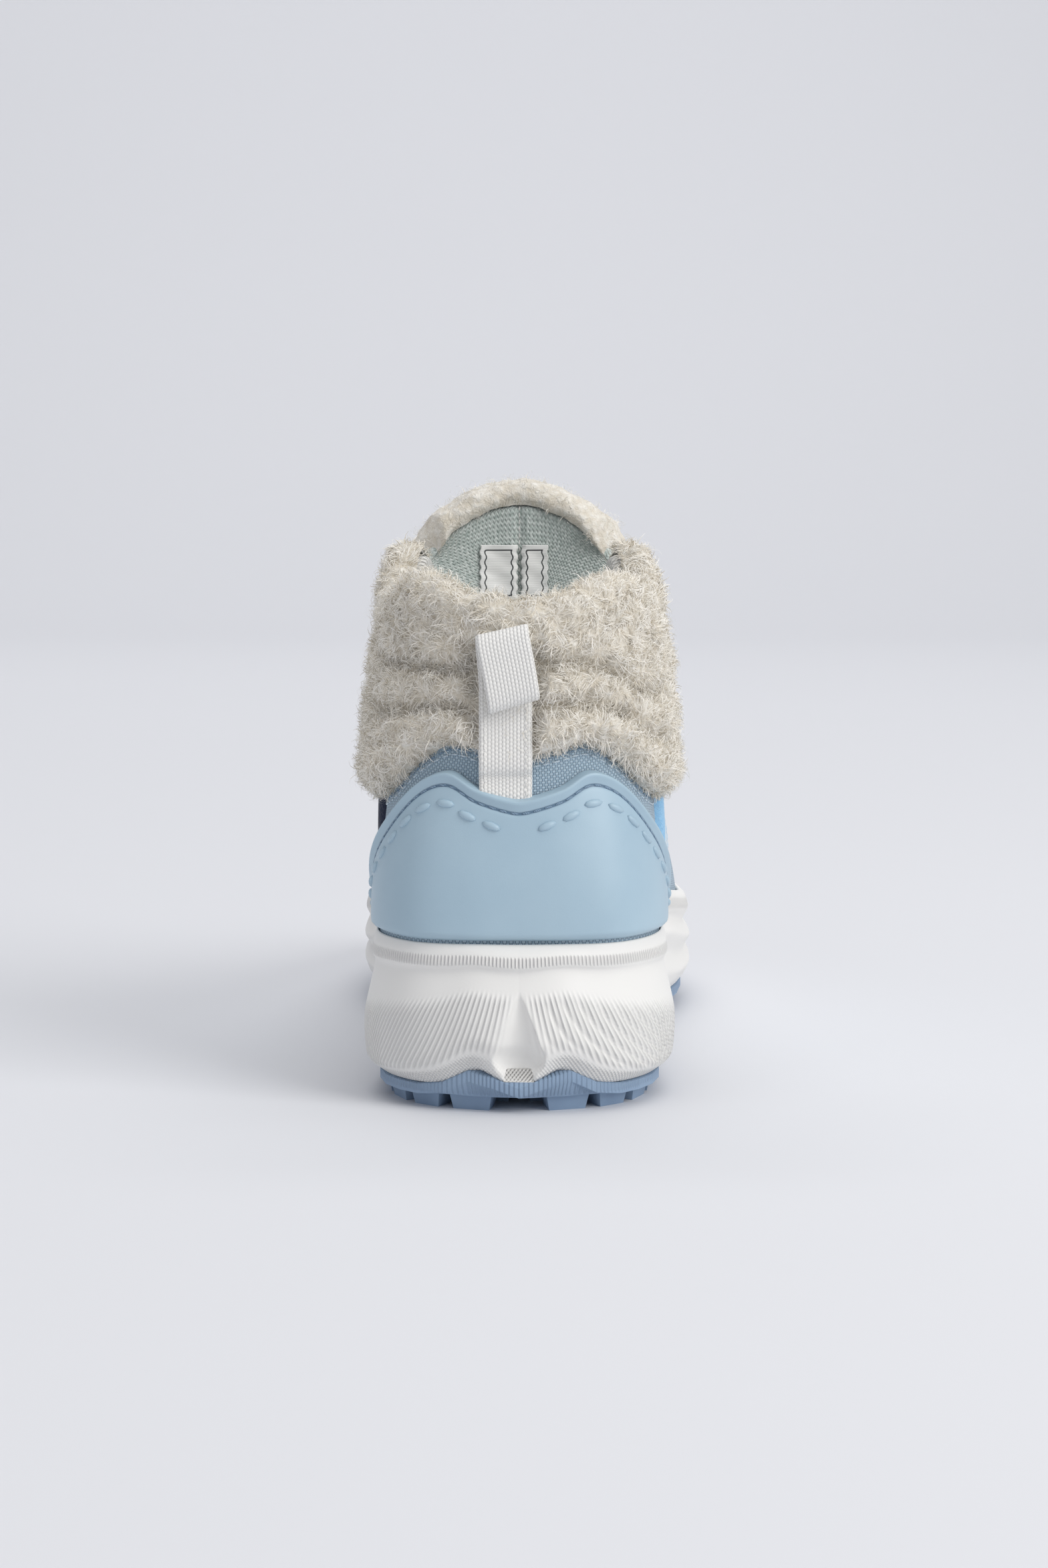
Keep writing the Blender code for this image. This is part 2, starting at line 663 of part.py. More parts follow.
def build_lugs():
    """All lugs as one helper mesh: a ring of them along the edge, and pairs of slanted ones between."""
    points, faces = [], []
    count = round(LATERAL_LENGTH / EDGE_LUG_PITCH)
    groove = LUG_GROOVE / LATERAL_LENGTH
    for side in (-1, 1):
        for k in range(count):
            start, end = (k + 0.5) / (count + 0.2), (k + 1.5) / (count + 0.2) - groove
            outer = [outline(side * way, LUG_INSET)[0] for way in (start, end)]
            inner = [outline(side * way, LUG_INSET + EDGE_LUG_WIDTH)[0] for way in (end, start)]
            if min(abs(p[0]) for p in (*outer, *inner)) > LUG_GROOVE / 2:
                block(*lug_ends([*outer, *inner]), points, faces)
    border = LUG_INSET + EDGE_LUG_WIDTH + LUG_GROOVE
    reach_along = SOLE_LENGTH - 2 * border - 2 * LUG_SLANT
    rows = int(reach_along / MIDDLE_LUG_PITCH)
    pitch = reach_along / rows
    for k in range(rows):
        y = border + (k + 0.5) * pitch
        for side, line, ways in ((-1, MEDIAL, MEDIAL_WAYS), (1, LATERAL, LATERAL_WAYS)):
            edge_ways = [float(np.interp(at, line[:, 1], ways)) for at in (y - pitch / 2, y + pitch / 2)]
            reach = min(abs(outline(side * way)[0][0]) for way in edge_ways) - border
            if reach < 2 * LUG_GROOVE:
                continue
            near, far = side * LUG_GROOVE * 0.6, side * reach
            half = (pitch - LUG_GROOVE) / 2
            corners = [(near, y - half), (far, y - half + LUG_SLANT), (far, y + half), (near, y + half - LUG_SLANT)]
            block(*lug_ends(corners), points, faces)
    return add_solid("lug_helper", points, faces, None)


# Insole: a flat foam and knit sole that lies in the upper.
def build_insole():
    rings = []
    for lift in (GAP + 0.2, INSOLE_THICKNESS):
        ring = []
        for u in RING:
            x, y = upper_point(u, 0.03, -(CANVAS_WALL + 2.2))[:2]
            ring.append(np.array([x, y, footbed(y) + lift]))
        rings.append(ring)
    return add_solid("insole", *capped_rings(rings), "insole_knit")


# Upper: one hollow wall from the feather edge to the collar and throat edge, open below and above.
def wall_thickness(u, v):
    """Thin canvas below, and a padded wall around the ankle."""
    ankle = min(max((0.50 - abs(u)) / 0.08, 0.0), 1.0)
    high = min(max((v - 0.45) / 0.3, 0.0), 1.0)
    return CANVAS_WALL + (PADDED_WALL - CANVAS_WALL) * ankle * high


def inner_face(u, v, gap=0.0):
    """A point of the upper's inner face, or a gap inside it."""
    above = INNER_ROWS.index(min(row for row in INNER_ROWS if row >= v))
    high = INNER_ROWS[max(above, 1)]
    low = INNER_ROWS[max(above, 1) - 1]
    share = (v - low) / (high - low)
    ends = [upper_point(u, row, -(wall_thickness(u, row) + gap)) for row in (low, high)]
    return ends[0] * (1 - share) + ends[1] * share


def build_upper():
    rows = np.linspace(0.0, 1.0, UPPER_ROWS)
    outer = [[upper_point(u, v) for u in RING] for v in rows]
    inner = [[inner_face(u, v) for u in RING] for v in INNER_ROWS]
    bead = []
    for u in RING:
        edge, below = upper_point(u, 1.0), upper_point(u, 0.96)
        rise = (edge - below) / np.linalg.norm(edge - below)
        thick = wall_thickness(u, 1.0)
        bead.append(upper_point(u, 1.0, -thick / 2) + rise * thick * 0.28)
    rings = [*outer, bead, *reversed(inner)]
    points = [p for ring in rings for p in ring]
    upper = add_solid("upper", points, ring_faces(len(rings), len(RING), closed_rows=True), "canvas", 50.0)
    boolean(upper, eyelet_cutters("upper_eyelet_cutters"), "DIFFERENCE")
    return upper


# Eyelets: holes punched through the eyestay and the wall under it.
def way_on_edge(distance):
    """The way around the shoe at a distance along the throat's edge from its front."""
    ways = np.linspace(0.0, 1.0, 201)
    shares = [smooth_between(UPPER_STATIONS, way, 1) for way in ways]
    return float(np.interp(1.0 - distance / EDGE_LENGTH, shares, ways))


def eyelet_distances():
    return [EYELET_FIRST + k * EYELET_PITCH for k in range(EYELET_PAIRS)]


def eyelet_cutters(name):
    points, faces = [], []
    sides = 6
    for side in (-1, 1):
        for distance in eyelet_distances():
            u = side * way_on_edge(distance)
            top, bottom = upper_point(u, EYELET_V, EYELET_CUT), upper_point(u, EYELET_V, -EYELET_CUT)
            axis = (top - bottom) / np.linalg.norm(top - bottom)
            across = np.cross(axis, (0.0, 0.0, 1.0))
            across /= np.linalg.norm(across)
            other = np.cross(axis, across)
            start = len(points)
            for end in (bottom, top):
                for k in range(sides):
                    a = 2 * math.pi * k / sides
                    points.append(end + EYELET_RADIUS * (across * math.cos(a) + other * math.sin(a)))
            faces += ring_faces(2, sides, start=start)
            faces += [tuple(start + k for k in range(sides)), tuple(start + sides + k for k in range(sides))]
    return add_solid(name, points, faces, None)


def panel(name, ways, low, high, rows, inner_out, outer_out, material_name, sharp=40.0):
    """A piece that lies on the upper between two lines, as thick as outer_out(u, share up) says."""
    outer, inner = [], []
    for share in np.linspace(0.0, 1.0, rows):
        outer_row, inner_row = [], []
        for u in ways:
            v = low(u) + (high(u) - low(u)) * share
            outer_row.append(upper_point(u, v, outer_out(u, share)))
            inner_row.append(upper_point(u, v, inner_out(u, share)))
        outer.append(outer_row)
        inner.append(inner_row)
    return add_solid(name, *slab(outer, inner), material_name, sharp)


def row_panel(name, ways, low, high, inner_out, outer_out, material_name):
    """A piece that lies on the upper between two lines and shares the upper's own rows and facets."""
    outer, inner = [], []
    for row in np.linspace(0.0, 1.0, UPPER_ROWS):
        heights = [min(max(row, low(u)), high(u)) for u in ways]
        outer.append([upper_point(u, v, outer_out) for u, v in zip(ways, heights)])
        inner.append([upper_point(u, v, inner_out) for u, v in zip(ways, heights)])
    return add_solid(name, *slab(outer, inner), material_name, 40.0)


# Heel counter: moulded rubber around the heel, its top edge in two peaks with a raised bead.
def above_rim(u):
    return v_at_height(u, rim(upper_point(u, 0.0)[1]) + RIM_CLEARANCE)


def counter_top(u):
    rise = COUNTER_HEIGHT - RIM_HEIGHT - RIM_CLEARANCE
    foot = rim(upper_point(u, 0.0)[1]) + RIM_CLEARANCE
    return v_at_height(u, foot + rise * smooth_between(COUNTER_EDGE, abs(u)))


def build_counter():
    def thickness(u, share):
        bead = COUNTER_BEAD if 0.93 > share > 0.86 else 0.0
        edge = 0.45 if share > 0.99 else 0.0
        return GAP + COUNTER_THICKNESS + bead - edge

    return panel(
        "heel_counter", ways_between(-COUNTER_END, COUNTER_END), above_rim, counter_top, 9,
        lambda u, share: GAP, thickness, "counter_rubber",
    )


# Fleece collar: a thick pile cuff around the ankle in three rolls, with tufts.
def fleece_line(u):
    return v_at_height(u, FLEECE_LINE * smooth_between(FLEECE_EDGE, abs(u)))


def way_at_side(x):
    """The way around the heel where the upper lies at least that far to a side, from the fleece line up."""
    low, high = 0.0, 0.14
    for _ in range(24):
        middle = (low + high) / 2
        reach = min(wall_curve(middle, v)[0] for v in (fleece_line(0.0), 0.85, 1.0))
        if reach < abs(x):
            low = middle
        else:
            high = middle
    return math.copysign(high, x)


def fleece_out(u, share):
    """How far the pile stands off the upper."""
    v = fleece_line(u) + (1.0 - fleece_line(u)) * share
    height = wall_curve(u, v)[2]
    thick = FLEECE_THICKNESS
    for column in (1, 2):
        groove = COLLAR_HEIGHT * smooth_between(FLEECE_GROOVES, u, column)
        thick -= FLEECE_THICKNESS * GROOVE_DEPTH * math.exp(-(((height - groove) / GROOVE_WIDTH) ** 2))
    tuft = math.sin(61 * u + 9 * share) * math.sin(17 * share + 23 * u) + 0.6 * math.sin(113 * u - 21 * share)
    thick += 0.5 * tuft
    if share < 0.04 or share > 0.96:
        thick *= 0.62
    if abs(u) > FLEECE_FRONT - FLEECE_END_STEP:
        thick *= 0.6
    return max(thick, 2.4)


def build_fleece_collar():
    channel = [way_at_side(x + math.copysign(SOFT_GAP, x)) for x in STRAP_SIDES]
    beside = [way_at_side(x + math.copysign(SOFT_GAP + 2.0, x)) for x in STRAP_SIDES]
    ways = [w for w in ways_between(-FLEECE_FRONT, FLEECE_FRONT) if w]

    def out(u, share):
        return SOFT_GAP + PRESSED_PILE if channel[0] - 0.0001 < u < channel[1] + 0.0001 else fleece_out(u, share)

    return panel(
        "fleece_collar", sorted([*ways, *channel, *beside, 0.0]), fleece_line, lambda u: FLEECE_TOP_SHARE, 13,
        lambda u, share: SOFT_GAP, out, "fleece", 60.0,
    )


# How far up the wall the quarter's lower edge lies above the rim, at ways around.
OVERLAY_EDGE = ((0.28, 0.0), (0.50, 0.0), (0.60, 0.30), (0.70, 0.62), (0.80, 0.74), (0.90, 0.80))


# Side overlays: a suede quarter on each side, from the midsole to the eyelets, with a felt trim behind.
def overlay_low(u):
    way = abs(u)
    lift = smooth_between(OVERLAY_EDGE, way)
    base = above_rim(u)
    return base + (1.0 - base) * max(lift, 0.0)


def overlay_high(u):
    way = abs(u)
    under_fleece = fleece_line(u) - FLEECE_END_STEP
    joined = min(max((way - FLEECE_FRONT - OVERLAY_MARGIN) / OVERLAY_STEP, 0.0), 1.0)
    return under_fleece + (0.985 - under_fleece) * joined


def build_overlay(name, side):
    ways = ways_between(OVERLAY_BACK, OVERLAY_FRONT)
    ways = sorted([*ways, FLEECE_FRONT + OVERLAY_MARGIN, FLEECE_FRONT + OVERLAY_MARGIN + OVERLAY_STEP])
    ways = sorted(side * way for way in ways)
    outer_out = OVERLAY_SEAT + OVERLAY_THICKNESS
    overlay = row_panel(name, ways, overlay_low, overlay_high, OVERLAY_SEAT, outer_out, "suede")
    boolean(overlay, eyelet_cutters(name + "_eyelet_cutters"), "DIFFERENCE")
    return overlay


def build_trim(name, side, material_name):
    width = TRIM_WIDTH / LATERAL_LENGTH
    back, front = OVERLAY_BACK - width - 0.0012, OVERLAY_BACK - 0.0012
    ways = [side * back, side * (back + front) / 2, side * front]

    def thickness(u, share):
        return GAP + TRIM_THICKNESS * (1.0 if abs(abs(u) - (back + front) / 2) < width / 4 else 0.75)

    return panel(name, ways, overlay_low, overlay_high, 5, lambda u, share: GAP, thickness, material_name)


# Tongue: a padded tongue under the eyestays that widens and rises above the collar.
ACROSS = (-1.0, -0.86, -0.70, -0.52, -0.34, -0.17, 0.0, 0.17, 0.34, 0.52, 0.70, 0.86, 1.0)
TONGUE_FRONT, TONGUE_LAST = 0.90, 0.50
TUCK = 0.125
TUCKED_FROM = 0.52


def tongue_section(way):
    """Points across the tongue: tucked under the eyestays below, free between them at the throat's top."""
    crown = smooth_between(((TONGUE_LAST, 0.16), (0.62, 0.08), (TONGUE_FRONT, 0.03)), way) * BALL_HALF
    forward = crown_direction(way)
    tucked = min((way - TONGUE_LAST) / 0.07, 1.0)
    ends = [inner_face(side * way, 1.0, SOFT_GAP) for side in (-1, 1)]
    middle, half = (ends[0] + ends[1]) / 2, (ends[1] - ends[0]) / 2
    points = []
    for a in ACROSS:
        free = middle + half * a * TONGUE_NECK + forward * crown * (1 - a * a)
        if abs(a) < TUCKED_FROM:
            b = a / TUCKED_FROM
            under = middle + half * b + forward * crown * (1 - b * b)
        else:
            v = 1.0 - TUCK * (abs(a) - TUCKED_FROM) / (1 - TUCKED_FROM)
            under = inner_face(math.copysign(way, a), v, SOFT_GAP)
        points.append(free + (under - free) * tucked)
    return np.array(points)


def crown_direction(way):
    """Up and forward out of the throat, square to it."""
    ahead = wall_curve(min(way + 0.03, 0.93), 1.0) - wall_curve(way - 0.03, 1.0)
    ahead[0] = 0.0
    ahead /= np.linalg.norm(ahead)
    return np.array([0.0, -ahead[2], ahead[1]])


def tongue_rows():
    """Sections from the throat's front to the tip, and the outward direction at each point."""
    ways = [w for w in WAYS[::-1] if TONGUE_LAST + 0.01 < w < TONGUE_FRONT]
    rows = [tongue_section(way) for way in (*ways, TONGUE_LAST)]
    last = rows[-1]
    centre = last[len(ACROSS) // 2]
    rise = TONGUE_TOP - centre[2]
    for share, forward, wide, arch in TONGUE_RISE[1:]:
        row = []
        for a, point in zip(ACROSS, last):
            up = rise * share * (1 - arch * a * a)
            row.append(np.array([point[0] * wide, point[1] + forward * rise, point[2] + up]))
        rows.append(np.array(row))
    grid = np.array(rows)
    along = np.gradient(grid, axis=0)
    across = np.gradient(grid, axis=1)
    normal = np.cross(across, along)
    normal /= np.linalg.norm(normal, axis=2)[..., None]
    if normal[0, len(ACROSS) // 2, 2] < 0:
        normal = -normal
    return grid, normal


def build_tongue():
    grid, normal = tongue_rows()
    inner = grid - normal * TONGUE_THICKNESS
    return add_solid("tongue", *slab(grid, inner), "lining_knit", 60.0)


def build_tongue_fleece():
    """Pile on the front of the tongue's upper part that curls over its top edge."""
    grid, normal = tongue_rows()
    first = len(grid) - len(TONGUE_RISE) + 1
    above = grid[-1] - grid[-2]
    above /= np.linalg.norm(above, axis=1)[:, None]
    top_out, top_in = grid[-1], grid[-1] - normal[-1] * TONGUE_THICKNESS
    profile = []
    for row in range(first, len(grid)):
        shape = 0.6 if row == first else 1.0
        profile.append(grid[row] + normal[row] * (SOFT_GAP + TONGUE_FLEECE * shape))
    profile.append(top_out + normal[-1] * TONGUE_FLEECE * 0.55 + above * TONGUE_FLEECE * 0.75)
    profile.append(top_in + normal[-1] * 1.0 + above * TONGUE_FLEECE * 0.85)
    profile.append(top_in - normal[-1] * 1.5 + above * TONGUE_FLEECE * 0.35)
    profile.append(top_in + above * PILE_LIFT)
    profile.append(top_out + (normal[-1] + above) * PILE_LIFT)
    for row in range(len(grid) - 2, first - 1, -1):
        profile.append(grid[row] + normal[row] * PILE_SEAT)
    sections = np.array(profile).transpose(1, 0, 2)
    columns = sections.shape[1]
    points = [p for section in sections for p in section]
    faces = ring_faces(len(sections), columns)
    front = len(grid) - first
    for start in (0, (len(sections) - 1) * columns):
        ends = [(k, k + 1, columns - 2 - k, columns - 1 - k) for k in range(front - 1)]
        ends += [(front - 1, front, front + 4), (front, front + 1, front + 3, front + 4)]
        ends += [(front + 1, front + 2, front + 3)]
        faces += [tuple(start + k for k in end) for end in ends]
    return add_solid("tongue_fleece", points, faces, "fleece", 60.0)


# Laces: a bar at the foot of the throat and a crossing over each next pair of eyelets.
def lace_height():
    return OVERLAY_SEAT + OVERLAY_THICKNESS + SOFT_GAP + LACE_DIAMETER / 2


def lace_line(start_distance, start_side, end_distance, over=0.0):
    """The middle line of one lace run over the throat, from beside an eyelet to the one opposite."""
    start_way, end_way = way_on_edge(start_distance), way_on_edge(end_distance)
    middle_way = (start_way + end_way) / 2
    tongue = tongue_section(middle_way)[len(ACROSS) // 2]
    line = [
        upper_point(start_side * start_way, EYELET_V, lace_height()),
        upper_point(start_side * (start_way * 0.8 + end_way * 0.2), 1.0, lace_height()),
        tongue + crown_direction(middle_way) * (2 * SOFT_GAP + LACE_DIAMETER / 2),
        upper_point(-start_side * (start_way * 0.2 + end_way * 0.8), 1.0, lace_height()),
        upper_point(-start_side * end_way, EYELET_V, lace_height()),
    ]
    highest = max(line[1][2], line[3][2])
    line[2][2] = max(line[2][2], highest) + over
    return curve_through(line, closed=False, per_span=2)


def add_cord(name, line, diameter, material_name):
    """A round cord along a line, as a curve with a bevel and closed ends."""
    curve = bpy.data.curves.new(name, "CURVE")
    curve.dimensions = "3D"
    spline = curve.splines.new("POLY")
    spline.points.add(len(line) - 1)
    for target, point in zip(spline.points, line):
        target.co = (*(float(c) * MM for c in point), 1.0)
    curve.bevel_depth = diameter / 2 * MM
    curve.bevel_resolution = 1
    curve.use_fill_caps = True
    if material_name:
        curve.materials.append(material(material_name))
    obj = bpy.data.objects.new(name, curve)
    bpy.context.scene.collection.objects.link(obj)
    return obj


def cord_mesh(name, line, diameter, material_name):
    """The same cord as a mesh, so that it can be joined to another."""
    graph = bpy.context.evaluated_depsgraph_get()
    curve = add_cord(name + "_line", line, diameter, material_name)
    graph.update()
    mesh = bpy.data.meshes.new_from_object(curve.evaluated_get(graph))
    bpy.data.objects.remove(curve)
    joined = bmesh.new()
    joined.from_mesh(mesh)
    bmesh.ops.remove_doubles(joined, verts=joined.verts, dist=0.00001)
    bmesh.ops.recalc_face_normals(joined, faces=joined.faces)
    joined.to_mesh(mesh)
    joined.free()
    obj = bpy.data.objects.new(name, mesh)
    bpy.context.scene.collection.objects.link(obj)
    return obj


def build_laces():
    eyelets = eyelet_distances()
    bar = eyelets[0] - LACE_SIDESTEP
    cord_mesh("lace_bar", lace_line(bar, 1, bar), LACE_DIAMETER, "lace_cord")
    for k in range(EYELET_PAIRS - 1):
        start, end = eyelets[k] + LACE_SIDESTEP, eyelets[k + 1] - LACE_SIDESTEP
        run = cord_mesh(f"lace_cross_{k + 1}", lace_line(start, 1, end), LACE_DIAMETER, "lace_cord")
        upper_run = lace_line(start, -1, end, LACE_DIAMETER * LACE_OVERLAP)
        other = cord_mesh(f"lace_run_helper_{k + 1}", upper_run, LACE_DIAMETER, None)
        boolean(run, other, "UNION")


# Pull loop: webbing sewn up the back of the heel, its upper end folded outwards into a loop.
def build_pull_loop():
    ways = [way_at_side(x) for x in STRAP_SIDES]
    left, right = (wall_curve(way, counter_top(way))[2] for way in ways)
    start = v_at_height(0.0, (left + right) / 2 + 2 * GAP)
    fleece, end = fleece_line(0.0), v_at_height(0.0, LOOP_FOOT)
    line = []
    for v in (start, fleece - 0.05, fleece - 0.015, (fleece + end) / 2, end):
        pile = SOFT_GAP + PRESSED_PILE if v > fleece - 0.03 else 0.0
        x, y, z = upper_point(0.0, v, GAP + pile + WEBBING_THICKNESS / 2)
        tilt = math.atan2(right - left, WEBBING_WIDTH) if v == start else 0.0
        line.append((x + STRAP_OFFSET, y, z, tilt))
    foot = np.array(line[-1])
    for away, up, across, tilt in LOOP_SHAPE:
        reach = np.array([across, away, up]) * LOOP_HEIGHT
        line.append(foot + np.array([*reach, math.radians(tilt)]))
    line = np.array(line)
    tangent = np.gradient(line[:, 1:3], axis=0)
    tangent /= np.linalg.norm(tangent, axis=1)[:, None]
    points = []
    for (x, y, z, tilt), (along_y, along_z) in zip(line, tangent):
        side = np.array([math.cos(tilt), 0.0, math.sin(tilt)]) * WEBBING_WIDTH / 2
        out = np.array([0.0, -along_z, along_y]) * WEBBING_THICKNESS / 2
        middle = np.array([x, y, z])
        points += [middle - side - out, middle + side - out, middle + side + out, middle - side + out]
    faces = ring_faces(len(line), 4)
    faces += [(0, 1, 2, 3), tuple(range(len(points) - 4, len(points)))]
    return add_solid("pull_loop", points, faces, "webbing", 40.0)


def centre_on_floor():
    """Moves every object so that the shoe stands on z = 0 with the middle of its box over the origin."""
    graph = bpy.context.evaluated_depsgraph_get()
    graph.update()
    corners = []
    for obj in bpy.context.scene.objects:
        if not obj.hide_render:
            shown = obj.evaluated_get(graph)
            corners += [shown.matrix_world @ vertex.co for vertex in shown.to_mesh().vertices]
    corners = np.array(corners)
    low, high = corners.min(axis=0), corners.max(axis=0)
    frame = bpy.data.objects.new("shoe_frame", None)
    bpy.context.scene.collection.objects.link(frame)
    frame.location = (-(low[0] + high[0]) / 2, -(low[1] + high[1]) / 2, -low[2])
    for obj in list(bpy.context.scene.objects):
        if obj is not frame:
            obj.parent = frame


def main():
    for obj in list(bpy.data.objects):
        bpy.data.objects.remove(obj)
    build_outsole()
    build_midsole()
    build_insole()
    build_upper()
    build_counter()
    build_fleece_collar()
    build_overlay("overlay_lateral", 1)
    build_overlay("overlay_medial", -1)
    build_trim("trim_lateral", 1, "trim_lateral_felt")
    build_trim("trim_medial", -1, "trim_medial_felt")
    build_tongue()
    build_tongue_fleece()
    build_laces()
    build_pull_loop()
    centre_on_floor()


main()
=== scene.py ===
"""A winter hiking shoe for the right foot, seen straight from behind and slightly from above.

Lengths are in millimetres from the heel's back until a mesh is made, which is in metres in the row's
frame: +Z up, the toe along +Y, the outer side of the foot +X. A way around the shoe is a number u: 0 at
the back of the heel, 1 or -1 at the toe's tip, positive on the outer side. A way up the wall is v: 0 at
the feather edge, 1 at the collar's and throat's edge.
"""
import math

import bmesh
import bpy
import numpy as np
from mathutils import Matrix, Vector, noise


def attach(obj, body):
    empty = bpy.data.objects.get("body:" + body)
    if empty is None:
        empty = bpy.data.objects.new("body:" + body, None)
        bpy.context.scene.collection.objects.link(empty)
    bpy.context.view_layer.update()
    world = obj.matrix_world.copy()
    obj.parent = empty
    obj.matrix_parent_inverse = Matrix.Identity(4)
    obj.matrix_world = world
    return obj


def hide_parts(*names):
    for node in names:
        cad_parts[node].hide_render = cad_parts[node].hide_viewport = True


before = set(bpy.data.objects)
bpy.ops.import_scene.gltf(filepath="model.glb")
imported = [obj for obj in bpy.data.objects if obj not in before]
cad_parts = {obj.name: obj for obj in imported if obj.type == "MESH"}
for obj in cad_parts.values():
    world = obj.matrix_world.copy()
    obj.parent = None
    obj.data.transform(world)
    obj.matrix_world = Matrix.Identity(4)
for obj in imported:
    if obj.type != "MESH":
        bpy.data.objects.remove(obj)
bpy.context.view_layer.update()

# The studio: a seamless pale paper sweep, a large softbox at the right, a weak fill at the left.
# The camera stands a metre behind the heel on a long lens and looks down by five and a half degrees.
CAMERA_PLACE = (-0.0009, -1.0206, 0.1711)
CAMERA_TILT = math.radians(84.5)
CAMERA_LENS = 78.48
PAPER_HALF, PAPER_NEAR, PAPER_BEND, PAPER_TOP = 5.0, -3.0, 2.2, 3.4


def linear(hex_colour, share=1.0):
    """An sRGB hex colour as linear red, green, blue and alpha."""
    parts = [int(hex_colour[k:k + 2], 16) / 255 for k in (0, 2, 4)]
    parts = [c / 12.92 if c <= 0.04045 else ((c + 0.055) / 1.055) ** 2.4 for c in parts]
    return (*(c * share for c in parts), 1.0)


def add_node(tree, kind, inputs=None, **settings):
    """Adds a node with its settings; an input is a constant or the socket that it is linked from."""
    made = tree.nodes.new(kind)
    for name, value in settings.items():
        setattr(made, name, value)
    for socket, value in (inputs or {}).items():
        if isinstance(value, bpy.types.NodeSocket):
            tree.links.new(value, made.inputs[socket])
        else:
            made.inputs[socket].default_value = value
    return made


def new_material(name, colour, roughness, **constants):
    """A material with its shader's constants set; returns the material, its tree and the shader."""
    made = bpy.data.materials.new(name)
    made.use_nodes = True
    shader = made.node_tree.nodes["Principled BSDF"]
    shader.inputs["Base Color"].default_value = linear(colour)
    shader.inputs["Roughness"].default_value = roughness
    for socket, value in constants.items():
        shader.inputs[socket.replace("_", " ")].default_value = value
    return made, made.node_tree, shader


camera_data = bpy.data.cameras.new("camera")
camera_data.sensor_width = 36.0
camera_data.lens = CAMERA_LENS
camera_data.clip_start, camera_data.clip_end = 0.05, 30.0
camera = bpy.data.objects.new("camera", camera_data)
camera.location = CAMERA_PLACE
camera.rotation_euler = (CAMERA_TILT, 0.0, 0.0)
bpy.context.scene.collection.objects.link(camera)
bpy.context.scene.camera = camera
bpy.context.scene.view_settings.view_transform = "Standard"

turn = np.linspace(0.0, math.pi / 2, 16)
sweep = [(PAPER_NEAR, 0.0), *((PAPER_BEND + math.sin(a), 1.0 - math.cos(a)) for a in turn)]
sweep.append((PAPER_BEND + 1.0, PAPER_TOP))
paper_mesh = bpy.data.meshes.new("paper")
paper_mesh.from_pydata(
    [(x, y, z) for y, z in sweep for x in (-PAPER_HALF, PAPER_HALF)], [],
    [(2 * k, 2 * k + 1, 2 * k + 3, 2 * k + 2) for k in range(len(sweep) - 1)],
)
paper_mesh.shade_smooth()
paper = bpy.data.objects.new("paper", paper_mesh)
bpy.context.scene.collection.objects.link(paper)
# Matt background paper: a faint mottling keeps it from reading as a flat fill.
paper_white, tree, shader = new_material("matt_background_paper", "DDDEE2", 0.9)
mottling = add_node(tree, "ShaderNodeTexNoise", {"Scale": 3.0, "Detail": 3.0})
shade = add_node(tree, "ShaderNodeMix", {0: mottling.outputs[0], 6: linear("DADBDF"), 7: linear("E1E2E6")},
                 data_type="RGBA")
tree.links.new(shade.outputs[2], shader.inputs["Base Color"])
paper_mesh.materials.append(paper_white)

for light_name, place, width, height, power, warmth in (
    ("key_right", (1.35, -1.1, 1.15), 1.1, 1.3, 22.0, (1.0, 0.99, 0.97)),
    ("top", (0.1, -0.1, 1.9), 1.6, 1.6, 11.0, (1.0, 1.0, 1.0)),
    ("fill_left", (-1.7, -1.3, 0.8), 1.4, 1.2, 3.0, (0.93, 0.95, 1.0)),
    ("backdrop", (0.0, 1.6, 2.4), 3.0, 1.0, 30.0, (1.0, 1.0, 1.0)),
):
    light_data = bpy.data.lights.new(light_name, "AREA")
    light_data.shape, light_data.size, light_data.size_y = "RECTANGLE", width, height
    light_data.energy, light_data.color = power, warmth
    light = bpy.data.objects.new(light_name, light_data)
    light.location = place
    aim = np.array((0.0, 2.6 if light_name == "backdrop" else -0.05, 0.08)) - np.array(place)
    light.rotation_euler = (math.atan2(math.hypot(aim[0], aim[1]), -aim[2]), 0.0, math.atan2(-aim[0], aim[1]))
    bpy.context.scene.collection.objects.link(light)
world = bpy.data.worlds.new("studio_room")
world.use_nodes = True
world.node_tree.nodes["Background"].inputs["Color"].default_value = linear("F3F4F8")
world.node_tree.nodes["Background"].inputs["Strength"].default_value = 0.42
bpy.context.scene.world = world

# Midsole: one block of compression-moulded EVA foam, 45 mm high at the heel, with a rim around the
# upper, a ribbed and creased heel, a smooth hollow up the middle of its back, and rolls at the forefoot.
SOLE_LENGTH, BALL_HALF = 290.0, 52.0
HEEL_FOOTBED, RIM_HEIGHT, SOLE_EDGE, TOE_SPRING, HEEL_HUMP = 33.0, 44.4, 6.6, 12.0, 4.6
SHOE_CENTRE = np.array((2.2074, 144.971, 0.0))
FLUTE_TOP, FLUTE_WIDTH = 31.5, 14.5
GAP, FEATHER_INSET, COLLAR_HEIGHT = 0.3, 5.0, 128.5
SOLE_OUTLINE = (
    # along, lateral, medial: shares of the sole's length and of half the ball's width
    (0.012, 0.33, 0.33), (0.045, 0.62, 0.62), (0.115, 0.795, 0.795), (0.220, 0.805, 0.775),
    (0.340, 0.760, 0.690), (0.450, 0.805, 0.690), (0.560, 0.935, 0.815), (0.660, 1.035, 0.940),
    (0.760, 1.015, 0.945), (0.855, 0.885, 0.870), (0.925, 0.680, 0.730), (0.972, 0.420, 0.510),
    (0.993, 0.160, 0.270),
)
TOE_TIP = -0.05
